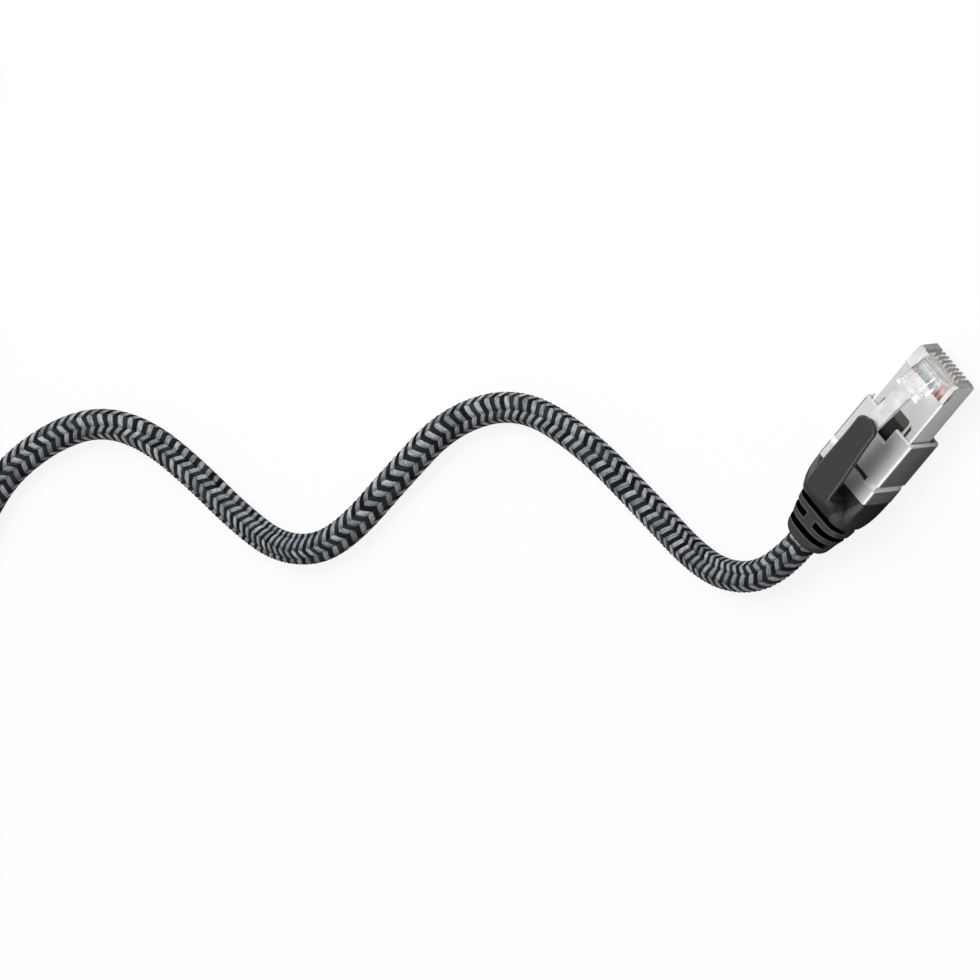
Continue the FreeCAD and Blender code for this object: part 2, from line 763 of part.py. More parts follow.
def make_strain_relief(name):
    """The tapered, flexing sleeve behind the boot, cut by three staggered rows of slots."""
    body = new_body(name)
    loft(body, [rounded_section(body, *section) for section in RELIEF_SECTIONS])
    bore = disc(body, "YZ_Plane", "0", "cable_axis_z", "relief_bore", "relief_end_x")
    feature(body, "Pocket", bore, "boot_end_x - relief_end_x", backwards=True)
    for row in RELIEF_ROWS:
        relief_slots(body, *row)
    return body


# The cable's end inside the connector


def sleeve(name, front, length, inner, outer):
    """A plain round sleeve on the cable's axis, as a cylinder cut by a smaller one."""
    parts = []
    for label, radius in (("outside", outer), ("inside", inner)):
        cylinder = doc.addObject("Part::Cylinder", f"{name}_{label}")
        cylinder.setExpression("Radius", bound(radius))
        cylinder.setExpression("Height", bound(length))
        cylinder.Placement = Placement(
            Vector(size_of(front) - size_of(length), 0, size_of("cable_axis_z")),
            Rotation(Vector(0, 1, 0), 90),
        )
        parts.append(cylinder)
    made = doc.addObject("Part::Cut", name)
    made.Base, made.Tool = parts
    made.Label = name
    return made


def make_cable_end(name):
    """The jacketed cable inside the boot and the strain relief."""
    front, rear = size_of("jacket_front"), size_of("relief_end_x")
    start = Vector(rear, 0, size_of("cable_axis_z"))
    radius = size_of("cable_diameter") / 2
    return new_solid(name, Part.makeCylinder(radius, front - rear, start, Vector(1, 0, 0)))


# The cord between the connectors


def along_coil(turned):
    """Point and heading on the coil's middle line, after turning clockwise by an angle in degrees."""
    spiral = (COIL_TURN_DEG - COIL_CLIMB_DEG) / 2
    step, layer = size_of("coil_step"), size_of("coil_layer")
    inner = size_of("coil_radius") - step * spiral / 360
    height = size_of("tie_thickness") + size_of("tie_gap") + size_of("cable_diameter") / 2
    if turned <= spiral:
        radius, widening, climb = size_of("coil_radius") - step * turned / 360, -step, 0
    elif turned < spiral + COIL_CLIMB_DEG:
        share = (turned - spiral) / COIL_CLIMB_DEG
        radius = inner - step * COIL_CLIMB_DEG / 360 * share * (1 - share)
        widening = step * (2 * share - 1)
        climb = layer / math.radians(COIL_CLIMB_DEG) * math.pi / 2 * math.sin(math.pi * share)
        height += layer * (1 - math.cos(math.pi * share)) / 2
    else:
        past = turned - spiral - COIL_CLIMB_DEG
        radius, widening, climb = inner + step * past / 360, step, 0
        height += layer
    angle = math.radians(COIL_ENTRY_DEG - turned)
    outward = Vector(math.cos(angle), math.sin(angle), 0)
    forward = Vector(math.sin(angle), -math.cos(angle), 0)
    centre = Vector(size_of("coil_centre_x"), size_of("coil_centre_y"), height)
    heading = forward * radius + outward * (widening / math.tau) + Vector(0, 0, climb)
    return centre + outward * radius, heading.normalize()


def bulge(start, heading, end):
    """The middle point of the arc that leaves start along heading and ends at end."""
    chord = end - start
    half = heading.getAngle(chord) / 2
    side = heading - chord * (heading.dot(chord) / chord.dot(chord))
    if side.Length < 1e-9:
        return (start + end) / 2
    return (start + end) / 2 + side.normalize() * (chord.Length / 2 * math.tan(half))


def two_arcs(start, out_heading, end, in_heading):
    """Two tangent arcs from one point and heading to another."""
    chord, both = end - start, out_heading + in_heading
    slack = 2 * (1 - out_heading.dot(in_heading))
    reach = (-chord.dot(both) + math.sqrt(chord.dot(both) ** 2 + slack * chord.dot(chord))) / slack
    joint = (start + out_heading * reach + end - in_heading * reach) / 2
    last = bulge(end, in_heading * -1, joint)
    return [
        Part.Arc(start, bulge(start, out_heading, joint), joint).toShape(),
        Part.Arc(joint, last, end).toShape(),
    ]


def coil_ends():
    """The coil's two faces, each one diameter out from its first or last turn."""
    straight = size_of("cable_diameter")
    first, entering = along_coil(0)
    last, leaving = along_coil(COIL_TURN_DEG)
    return first - entering * straight, entering, last + leaving * straight, leaving


def make_coil(name):
    """The put-away length: one unbroken tube in two layers of turns, spiralling in and out."""
    diameter = size_of("cable_diameter")
    start, entering, end, _ = coil_ends()
    spiral = (COIL_TURN_DEG - COIL_CLIMB_DEG) / 2
    stations = [0.0]
    for stretch in (spiral, COIL_CLIMB_DEG, spiral):
        count = math.ceil(stretch / 180)
        stations += [stations[-1] + stretch * (k + 1) / count for k in range(count)]
    spots = [along_coil(turned) for turned in stations]
    edges = [Part.LineSegment(start, spots[0][0]).toShape()]
    for (here, heading), (there, arriving) in zip(spots, spots[1:]):
        edges += two_arcs(here, heading, there, arriving)
    edges.append(Part.LineSegment(spots[-1][0], end).toShape())
    path = Part.Wire(edges)
    solid = round_stock(path, start, entering, diameter)
    samples = [along_coil(COIL_TURN_DEG * k / COIL_SAMPLES)[0] for k in range(COIL_SAMPLES + 1)]
    quarter = round(COIL_SAMPLES * 90 / COIL_TURN_DEG)
    apart = min(
        (samples[i] - samples[k]).Length
        for i in range(0, COIL_SAMPLES + 1, 3)
        for k in range(i + 2 * quarter, COIL_SAMPLES + 1)
    )
    wanted = path.Length * math.pi * diameter**2 / 4
    print(
        f"{name}: {path.Length:.1f} mm long, least gap to itself {apart - diameter:.2f} mm,"
        f" volume {solid.Volume / wanted:.4f} of section times length"
    )
    return new_solid(name, solid), path.Length


def make_tie(name):
    """A flat strap round the bundle of turns, on the side away from the plugs."""
    gap, slack, strap = size_of("tie_gap"), size_of("tie_slack"), size_of("tie_thickness")
    diameter = size_of("cable_diameter")
    crossings = [COIL_ENTRY_DEG - 180 + 360 * k for k in range(4)]
    reaches = [
        (along_coil(t)[0] - Vector(size_of("coil_centre_x"), size_of("coil_centre_y"), 0)).x
        for t in crossings
    ]
    bow = size_of("tie_width") ** 2 / (8 * -max(reaches))
    low, high = min(reaches) - diameter / 2 - slack, max(reaches) + diameter / 2 + slack + bow
    top = strap + gap + size_of("coil_layer") + diameter + slack / 2
    half = size_of("tie_width") / 2
    centre = Vector(size_of("coil_centre_x"), size_of("coil_centre_y"), 0)
    outer = Part.makeBox(
        high - low + 2 * strap, 2 * half, top + strap,
        centre + Vector(low - strap, -half, 0),
    )
    length_edges = [e for e in outer.Edges if abs(e.tangentAt(e.FirstParameter).y) > 0.9]
    corner = size_of("tie_corner")
    outer = outer.makeFillet(corner, length_edges)
    inner = Part.makeBox(
        high - low, 2 * half, top - strap, centre + Vector(low, -half, strap)
    )
    length_edges = [e for e in inner.Edges if abs(e.tangentAt(e.FirstParameter).y) > 0.9]
    inner = inner.makeFillet(corner - strap, length_edges)
    return new_solid(name, outer.cut(inner))


# Assembly

PAIRS = {"orange": (0, 1), "green": (2, 5), "blue": (3, 4), "brown": (6, 7)}
lift = size_of("hood_thickness") / 2
middle_x = -(size_of("nose_x") + size_of("relief_end_x")) / 2
near_place = Placement(Vector(middle_x, 0, lift), Rotation())
far_place = Placement(FAR_POSITION + Vector(0, 0, lift), Rotation())
nodes = []


def make_connector(end, placement):
    braid_outer = "cable_diameter / 2 + part_gap / 2 + braid_thickness"
    made = [
        make_plug_body(f"{end}_plug_body"),
        make_latch(f"{end}_latch"),
        make_contacts(f"{end}_contacts"),
        make_wire_guide(f"{end}_wire_guide"),
        make_pair_manager(f"{end}_pair_manager"),
        make_pair_screens(f"{end}_pair_screens"),
        make_shield(f"{end}_plug_shield"),
        make_hood(f"{end}_hood"),
        make_boot(f"{end}_boot"),
        make_lever(f"{end}_press_lever"),
        make_strain_relief(f"{end}_strain_relief"),
        make_cable_end(f"{end}_cable_end"),
        sleeve(
            f"{end}_braid_fold", "jacket_front", "braid_length",
            "cable_diameter / 2 + part_gap / 2", braid_outer,
        ),
        sleeve(
            f"{end}_crimp_ring", "jacket_front", "crimp_length",
            f"{braid_outer} + part_gap / 2", f"{braid_outer} + part_gap / 2 + crimp_thickness",
        ),
    ]
    for colour, indices in PAIRS.items():
        made.append(make_wires(f"{end}_{colour}_pair", indices))
    for item in made:
        item.Placement = placement
    return made


nodes += make_connector("near", near_place)
nodes += make_connector("far", far_place)

diameter = size_of("cable_diameter")
near_exit = near_place.multVec(Vector(size_of("relief_end_x"), 0, size_of("cable_axis_z")))
far_exit = far_place.multVec(Vector(size_of("relief_end_x"), 0, size_of("cable_axis_z")))
coil_start, _, coil_end, _ = coil_ends()
free_points = [near_exit] + [Vector(*p) for p in FREE_ROUTE] + [coil_start]
tail_points = [coil_end] + [Vector(*p) for p in TAIL_ROUTE] + [far_exit]
nodes.append(new_solid("cord_free", tube_along(free_points, diameter, "cord_free")))
coil, coil_length = make_coil("cord_coil")
nodes.append(coil)
nodes.append(new_solid("cord_tail", tube_along(tail_points, diameter, "cord_tail")))
nodes.append(make_tie("coil_tie"))
cord_length = (
    rounded_path(free_points)[0].Length + coil_length + rounded_path(tail_points)[0].Length
)
connector_length = size_of("nose_x") - size_of("relief_end_x")
print(f"lead from nose to nose: {cord_length + 2 * connector_length:.0f} mm")
print("coil faces:", coil_start, coil_end)

doc.recompute()
for item in doc.Objects:
    if "Invalid" in item.State or "Error" in item.State:
        raise RuntimeError(f"{item.Label} failed: {item.State}")
for item in nodes:
    if item.Shape.isNull() or not item.Shape.isValid():
        raise RuntimeError(f"{item.Label} has no valid shape")
os.makedirs("parts", exist_ok=True)
for item in nodes:
    item.Shape.exportStep(f"parts/{item.Label}.step")
print(len(nodes), "nodes written")
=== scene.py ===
import bpy
import numpy as np
from mathutils import Matrix, Vector


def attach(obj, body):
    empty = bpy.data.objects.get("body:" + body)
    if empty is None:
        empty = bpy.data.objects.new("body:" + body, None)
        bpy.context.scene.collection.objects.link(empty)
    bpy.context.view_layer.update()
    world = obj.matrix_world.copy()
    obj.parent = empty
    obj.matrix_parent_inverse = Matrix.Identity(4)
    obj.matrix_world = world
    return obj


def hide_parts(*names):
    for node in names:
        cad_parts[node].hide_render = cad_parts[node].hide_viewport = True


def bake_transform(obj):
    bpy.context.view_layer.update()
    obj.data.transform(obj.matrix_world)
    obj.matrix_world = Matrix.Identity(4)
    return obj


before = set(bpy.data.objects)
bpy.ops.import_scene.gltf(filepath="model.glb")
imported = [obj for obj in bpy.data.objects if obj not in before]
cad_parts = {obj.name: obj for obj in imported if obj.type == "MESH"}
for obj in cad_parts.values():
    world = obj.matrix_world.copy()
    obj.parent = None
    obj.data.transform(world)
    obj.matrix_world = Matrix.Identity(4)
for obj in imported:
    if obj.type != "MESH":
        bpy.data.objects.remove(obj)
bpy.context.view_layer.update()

mm = 0.001
nearOrigin = np.array([8.7, 0.0, 4.9])       # mouth of the near hood, in millimetres
farOrigin = np.array([-108.2, 198.2, 4.9])
ends = {"near": nearOrigin, "far": farOrigin}
betweenEnds = (0.10, 0.15)                   # y in metres, past which a point is on the far connector
mapName = "weave"                            # the UV map of the pieces made here


# a socket that takes part in sums, so that shader maths reads as a formula
class Value:
    def __init__(self, finish, socket):
        self.finish = finish
        self.socket = socket

    def maths(self, operation, *terms):
        return self.finish.node("ShaderNodeMath", {"operation": operation}, dict(enumerate(terms)))

    def __add__(self, other):
        return self.maths("ADD", self, other)

    def __radd__(self, other):
        return self.maths("ADD", other, self)

    def __sub__(self, other):
        return self.maths("SUBTRACT", self, other)

    def __rsub__(self, other):
        return self.maths("SUBTRACT", other, self)

    def __mul__(self, other):
        return self.maths("MULTIPLY", self, other)

    def __rmul__(self, other):
        return self.maths("MULTIPLY", other, self)

    def __mod__(self, other):
        return self.maths("FLOORED_MODULO", self, other)

    def __abs__(self):
        return self.maths("ABSOLUTE", self)

    def sine(self):
        return self.maths("SINE", self)

    def floor(self):
        return self.maths("FLOOR", self)

    def power(self, exponent):
        return self.maths("POWER", self, exponent)

    def smaller(self, other):
        return self.maths("MINIMUM", self, other)

    def larger(self, other):
        return self.maths("MAXIMUM", self, other)

    # 0 below low, 1 above high, with a soft step between; low above high turns it round
    def step(self, low, high):
        settings = {"interpolation_type": "SMOOTHSTEP"}
        inputs = {"Value": self, "From Min": low, "From Max": high}
        return self.finish.node("ShaderNodeMapRange", settings, inputs)

    # 1 between two levels, with soft ends
    def between(self, low, high, soft=0.03):
        return self.step(low - soft, low) * (1 - self.step(high, high + soft))


# a material, or the world, that is built node by node
class Finish:
    def __init__(self, name, world=None):
        self.holder = world or bpy.data.materials.new(name)
        self.holder.use_nodes = True
        self.tree = self.holder.node_tree
        self.tree.nodes.clear()

    def node(self, kind, settings=None, inputs=None, output=0):
        made = self.tree.nodes.new(kind)
        for name, value in (settings or {}).items():
            setattr(made, name, value)
        for name, value in (inputs or {}).items():
            socket = made.inputs[name]
            if isinstance(value, Value):
                self.tree.links.new(value.socket, socket)
            else:
                socket.default_value = value
        return Value(self, made.outputs[output])

    # several outputs of the node that a value comes from
    def outputs(self, value, names):
        node = value.socket.node
        return [Value(self, node.outputs[name]) for name in names]

    def place(self, stretch=(1, 1, 1)):
        where = self.node("ShaderNodeTexCoord", output="Object")
        return self.node("ShaderNodeMapping", None, {"Vector": where, "Scale": stretch})

    def parts(self, vector):
        return self.outputs(self.node("ShaderNodeSeparateXYZ", None, {"Vector": vector}), range(3))

    # millimetres from the mouth of the connector's own hood, for either connector
    def local(self):
        x, y, z = self.parts(self.place())
        far = y.step(*betweenEnds)
        shift = (nearOrigin - farOrigin) * mm
        x = (x - nearOrigin[0] * mm + far * shift[0]) * 1000.0
        y = (y + far * shift[1]) * 1000.0
        return x, y, (z - nearOrigin[2] * mm) * 1000.0

    # from the camera, mirrored, gone through a clear face, and through how many of them
    def rays(self):
        path = self.node("ShaderNodeLightPath")
        return self.outputs(path, (
            "Is Camera Ray", "Is Glossy Ray", "Is Transmission Ray", "Transmission Depth",
        ))

    def noise(self, where, scale, detail=2.0, roughness=0.5):
        inputs = {"Vector": where, "Scale": scale, "Detail": detail, "Roughness": roughness}
        return self.node("ShaderNodeTexNoise", None, inputs)

    def vector(self, x, y, z):
        return self.node("ShaderNodeCombineXYZ", None, {0: x, 1: y, 2: z})

    def mix(self, factor, first, second, blend="MIX"):
        settings = {"data_type": "RGBA", "blend_type": blend}
        return self.node("ShaderNodeMix", settings, {0: factor, 6: first, 7: second}, 2)

    def shaded(self, colour, shade):
        return self.mix(1.0, colour, self.vector(shade, shade, shade), "MULTIPLY")

    def bump(self, height, distance, strength):
        inputs = {"Height": height, "Distance": distance, "Strength": strength}
        return self.node("ShaderNodeBump", None, inputs)

    def surface(self, inputs):
        return self.close(self.node("ShaderNodeBsdfPrincipled", None, inputs))

    def mixed(self, share, first, second):
        return self.close(self.node("ShaderNodeMixShader", None, {0: share, 1: first, 2: second}))

    def close(self, shader, kind="ShaderNodeOutputMaterial"):
        end = self.tree.nodes.new(kind)
        self.tree.links.new(shader.socket, end.inputs["Surface"])
        return self.holder


def grey(level):
    return (level, level, level, 1.0)


def newObject(name, data):
    made = bpy.data.objects.new(name, data)
    bpy.context.scene.collection.objects.link(made)
    return made


# a mesh piece from a grid of points: each face has four neighbours of the grid as its corners; the
# grid closes on itself along its second side, and a face closes each end of the first
def gridMesh(name, points, uv):
    rows, around = points.shape[:2]
    index = np.arange(rows * around).reshape(rows, around)
    turn = np.roll(index, -1, axis=1)
    quads = np.stack([index[:-1], index[1:], turn[1:], turn[:-1]], axis=-1).reshape(-1, 4)
    faces = quads.tolist() + [index[0].tolist(), index[-1][::-1].tolist()]
    corners = np.stack([uv[:-1, :-1], uv[1:, :-1], uv[1:, 1:], uv[:-1, 1:]], axis=2).reshape(-1, 2)
    corners = np.concatenate([corners, uv[0, :-1], uv[-1, :-1][::-1]])
    mesh = bpy.data.meshes.new(name)
    mesh.from_pydata(points.reshape(-1, 3).tolist(), [], faces)
    layer = mesh.uv_layers.new(name=mapName)
    layer.data.foreach_set("uv", corners.astype(np.float32).ravel())
    mesh.polygons.foreach_set("use_smooth", [True] * len(mesh.polygons))
    mesh.update()
    return newObject(name, mesh)


view = {
    "right": (0.5692, -0.5943, -0.5682),     # the camera's own axes in the world
    "up": (0.6900, 0.7211, -0.0630),
    "back": (0.4472, -0.3562, 0.8204),
    "pixelsPerMm": 5.40,
    "mouthPixel": (904.12, 418.79),          # where the photograph shows the mouth of the near hood
    "imageSize": 980,
    "distance": 4000.0,                      # far off, so that the view is nearly parallel
    "sensor": 36.0,
    "clip": (0.1, 50),
}


def makeCamera():
    right, up, back = (Vector(view[k]) for k in ("right", "up", "back"))
    half = view["imageSize"] / 2
    aside = (half - view["mouthPixel"][0]) / view["pixelsPerMm"]
    above = (view["mouthPixel"][1] - half) / view["pixelsPerMm"]
    place = Vector(nearOrigin.tolist()) + aside * right + above * up + view["distance"] * back
    data = bpy.data.cameras.new("photoView")
    data.sensor_width = view["sensor"]
    data.lens = view["sensor"] * view["distance"] * view["pixelsPerMm"] / view["imageSize"]
    data.clip_start, data.clip_end = view["clip"]
    camera = newObject("photoView", data)
    turn = Matrix((right, up, back)).transposed().to_4x4()
    camera.matrix_world = Matrix.Translation(place * mm) @ turn
    bpy.context.scene.camera = camera


makeCamera()
print("camera placed")


# control points of the cord's line, in millimetres: the free waves, the coil, the tail
nearExit = (-23.1, 0, 4.5)
freeRoute = [
    (-29.9, 0, 4.5), (-38.6, 3.7, 3.7), (-44.3, 12.2, 3), (-45.4, 29, 3), (-46.8, 47, 3),
    (-52, 63, 3), (-66, 71.6, 3), (-83, 72.6, 3), (-97, 73, 3), (-106, 75.6, 3),
    (-112.2, 82.4, 3), (-114.6, 92.3, 3), (-116.1, 106, 3), (-118.6, 118, 3),
    (-124.5, 127.5, 3), (-134.5, 133.2, 3), (-147, 136, 3), (-156.2, 134.4, 3.85),
]
coil = {
    "centre": (-178.0, 165.0),
    "entry": 285.0,                          # degrees round the centre where the first turn starts
    "turned": 1275.0,                        # degrees from there to the tail
    "climb": 180.0,                          # degrees in which the cord steps up to the second layer
    "drawIn": 3.4,                           # the climb is drawn in by a quarter of this at its middle
    "radius": 34.8,
    "step": 6.8,                             # between the turns of a layer
    "layer": 6.6,                            # between the layers
    "height": 3.85,
    "points": 57,
}
tailRoute = [(-165, 200.2, 10.45), (-156.7, 199.2, 7.7), (-148, 198.2, 4.5)]
farExit = (-140.0, 198.2, 4.5)
pointsPerStretch = 60                        # of the line, read between two control points


# point of the coil's middle line after turning by an angle: the radius shrinks by one step a turn,
# then the cord climbs half a cosine wave, then the radius grows again
def alongCoil(turned):
    spiral = (coil["turned"] - coil["climb"]) / 2
    inner = coil["radius"] - coil["step"] * spiral / 360
    share = np.clip((turned - spiral) / coil["climb"], 0, 1)
    radius = np.where(turned < spiral, coil["radius"] - coil["step"] * turned / 360, inner)
    radius = radius - coil["drawIn"] * share * (1 - share)
    radius = radius + coil["step"] * np.clip(turned - spiral - coil["climb"], 0, None) / 360
    height = coil["height"] + coil["layer"] * (1 - np.cos(np.pi * share)) / 2
    return radius, height


# the control points lie a little outside the line, by the cosine of half the angle between them
def coilPoints():
    each = coil["turned"] / coil["points"]
    turned = each * (np.arange(coil["points"]) + 0.5)
    radius, height = alongCoil(turned)
    radius = radius / np.cos(np.radians(each / 2))
    angle = np.radians(coil["entry"] - turned)
    x = coil["centre"][0] + radius * np.cos(angle)
    y = coil["centre"][1] + radius * np.sin(angle)
    return np.stack([x, y, height], axis=1)


def makeRoute():
    route = np.vstack([[nearExit], freeRoute, coilPoints(), tailRoute, [farExit]]) * mm
    curve = bpy.data.curves.new("cordRoute", "CURVE")
    curve.dimensions = "3D"
    curve.resolution_u = pointsPerStretch
    spline = curve.splines.new("NURBS")
    spline.points.add(len(route) - 1)
    spline.points.foreach_set("co", np.hstack([route, np.ones((len(route), 1))]).ravel())
    spline.order_u = 3
    spline.use_endpoint_u = True
    holder = newObject("cordRoute", curve)
    bpy.context.view_layer.update()
    seen = holder.evaluated_get(bpy.context.evaluated_depsgraph_get())
    mesh = bpy.data.meshes.new_from_object(seen)
    line = np.empty(len(mesh.vertices) * 3)
    mesh.vertices.foreach_get("co", line)
    bpy.data.meshes.remove(mesh)
    bpy.data.objects.remove(holder)
    return line.reshape(-1, 3)


cordLook = {
    "diameter": 6.0 * mm,
    "sides": 5,                              # mesh columns to one column of stitches
    "columns": 8,                            # columns of stitches, each 34 to 56 degrees wide
    "slant": 0.58,                           # share of a pitch that a stitch runs on as it crosses
    # length of one light and one dark stitch at places along the cord, in millimetres: it closes up
    # on the inside of a bend and opens on the outside
    "pitch": [
        (0, 2.10), (12, 2.20), (18, 1.75), (26, 1.55), (33, 1.82), (41, 2.09), (50, 2.18),
        (61, 2.08), (70, 1.77), (76, 1.87), (84, 2.17), (92, 2.50), (100, 2.67), (108, 2.88),
        (114, 2.84), (121, 2.66), (127, 2.38), (132, 1.98), (137, 1.48), (142, 1.34), (146, 1.40),
        (150, 1.75), (156, 1.95), (165, 2.08), (184, 2.04), (192, 2.24), (200, 2.42), (208, 2.58),
        (220, 2.50), (240, 2.00),
    ],
    # degrees round the cord, from its right side over its top, of one edge between two columns
    "twist": [
        (13, 86), (23, 65), (35, 55), (43, 59), (51, 63), (60, 67), (68, 73), (77, 86), (86, 104),
        (95, 116), (103, 124), (116, 127), (123, 130), (129, 129), (134, 131), (138, 132),
        (145, 120), (151, 117), (158, 118), (164, 120), (168, 126), (172, 132), (177, 145),
        (181, 158), (188, 178), (195, 194), (200, 201), (209, 209), (217, 219),
    ],
    "ringsSeen": 8,                          # mesh rings to one pitch
    "ringsCoiled": 4,
    "seenLength": 240.0 * mm,
    "station": 0.2 * mm,                     # between the even stations
    "pitchReach": 3 * mm,                    # to either side, over which the pitch is averaged
    "fadeLength": 4 * mm,                    # the zigzag fades out over this at the two ends
    "wander": 0.10,                          # radians that the columns' edges swing to either side
    "wanderLength": 17 * mm,                 # of cord for one radian of the swing's wave
    "wanderShift": 2.4,                      # radians between the waves of neighbouring edges
    "bandHeight": 0.16 * mm,
    "bandPower": 0.6,                        # below 1, so that a stitch is flat on top
    "columnHeight": 0.10 * mm,
    "columnPower": 0.7,
    "columnLean": 0.75,                      # below 1, so that a stitch is highest before its middle
    "pathStep": 4,                           # the path returned with the cord has every fourth station
}


# the values of one of the cord's tables at places along it
def alongTable(name, at, unit):
    where, values = np.array(cordLook[name]).T
    return np.interp(at, where * mm, values * unit)


# the whole cord: a point is centre(s) + radius * (cos(a) * side + sin(a) * up), where s runs along
# the line and a round it; s zigzags with the columns, and the radius is the cord's, less a band's
# |sin| along the cord and a column's sine round it
def makeCord():
    line = makeRoute()
    steps = np.linalg.norm(np.diff(line, axis=0), axis=1)
    reach = np.concatenate([[0], np.cumsum(steps)])
    length = reach[-1]
    # even stations, their headings and the pitch there
    even = np.linspace(0, length, int(length / cordLook["station"]))
    spots = np.stack([np.interp(even, reach, line[:, k]) for k in range(3)], axis=1)
    heading = np.gradient(spots, even, axis=0)
    heading /= np.linalg.norm(heading, axis=1)[:, None]
    width = int(cordLook["pitchReach"] / (even[1] - even[0]))
    pitch = np.pad(alongTable("pitch", even, mm), width, "edge")
    pitch = np.convolve(pitch, np.ones(2 * width + 1) / (2 * width + 1), "valid")
    phase = np.concatenate([[0], np.cumsum(np.diff(even) / pitch[:-1])])
    # rings at even steps of the phase, finer where the cord is seen
    seenPhase = np.interp(cordLook["seenLength"], even, phase)
    fine, coarse = 1 / cordLook["ringsSeen"], 1 / cordLook["ringsCoiled"]
    seen = np.arange(0, seenPhase, fine)
    rings = np.concatenate([seen, np.arange(seen[-1] + coarse, phase[-1], coarse), [phase[-1]]])
    at = np.interp(rings, phase, even)
    columns, sides = cordLook["columns"], cordLook["sides"]
    around = columns * sides
    column = np.arange(around) / sides
    # the rings zigzag: a stitch runs along the cord as it crosses its column
    zigzag = 2 * np.abs(column / 2 - np.floor(column / 2) - 0.5) - 0.5
    fade = np.clip(np.minimum(at, length - at) / cordLook["fadeLength"], 0, 1)[:, None]
    slant = cordLook["slant"] * np.interp(at, even, pitch)[:, None]
    spot = np.clip(at[:, None] + slant * zigzag[None, :] * fade, 0, length)
    centre = np.stack([np.interp(spot, even, spots[:, k]) for k in range(3)], axis=-1)
    along = np.stack([np.interp(spot, even, heading[:, k]) for k in range(3)], axis=-1)
    along /= np.linalg.norm(along, axis=-1, keepdims=True)
    side = np.cross(along, [0, 0, 1])
    side /= np.linalg.norm(side, axis=-1, keepdims=True)
    up = np.cross(side, along)
    # columns turn with the cord's twist and wander a little
    twist = np.radians(alongTable("twist", at, 1.0))[:, None]
    edge = np.arange(columns + 1)[None, :]
    swing = at[:, None] / cordLook["wanderLength"] + cordLook["wanderShift"] * (edge % columns)
    bounds = twist + 2 * np.pi * (edge - 1) / columns + cordLook["wander"] * np.sin(swing)
    lower = np.floor(column).astype(int)
    share = (column - lower)[None, :]
    turn = bounds[:, lower] + share * (bounds[:, lower + 1] - bounds[:, lower])
    # stitches stand up across their band and between their column's edges
    band = np.abs(np.sin(2 * np.pi * rings))[:, None] ** cordLook["bandPower"]
    crown = np.sin(np.pi * share ** cordLook["columnLean"]) ** cordLook["columnPower"]
    sunk = cordLook["bandHeight"] * (1 - band) + cordLook["columnHeight"] * (1 - crown)
    radius = (cordLook["diameter"] / 2 - sunk)[..., None]
    points = centre + radius * (np.cos(turn)[..., None] * side + np.sin(turn)[..., None] * up)
    uv = np.empty((len(rings), around + 1, 2))
    uv[..., 0] = rings[:, None]
    uv[..., 1] = np.arange(around + 1)[None, :] / sides
    piece = gridMesh("braidedCord", points, uv)
    print(f"cord: {length * 1000:.1f} mm, {len(rings)} rings, {len(piece.data.polygons) * 2} triangles")
    return piece, spots[::cordLook["pathStep"]], length


# the stitches' looks: lengths along the cord are shares of a pitch, those round it shares of a column
yarn = {
    "light": ((0.205, 0.217, 0.235, 1), (0.345, 0.355, 0.375, 1)),
    "dark": ((0.004, 0.005, 0.006, 1), (0.023, 0.027, 0.030, 1)),
    "lightShare": (0.51, 0.55),              # the light yarn ends between these two
    "lightStart": 0.04,                      # the softness of its other edge
    "outOfStep": 0.09,                       # every second column is shifted by this
    "frayed": (0.10, 0.06),                  # how far the edges wander, in large and in small
    "narrowing": 0.05,                       # of a light stitch where it ends
    "narrowFrom": 0.80,                      # the place in its column from which it narrows
    "threads": 44.0,                         # radians of the filaments' wave to a pitch
    "lean": 0.22,                            # of a stitch's two ends
    "tuckFrom": 0.60,                        # where it starts to dive under the next column
    "rimTo": 0.07,                           # where it has come up from under the last one
    "level": 0.90,
    "toneSpread": 0.26,                      # how much each of these makes the yarn paler
    "strandSpread": 0.05,
    "streakSpread": 2.5,
    "fineSpread": 1.3,
    "grooveDark": 0.40,                      # and how much painted shade each of these puts in
    "tuckDark": 0.55,
    "rimDark": 0.3,
    "darkest": 0.15,
    "bump": 0.00006,
    "roughness": 0.6,
    "specular": 0.10,
}


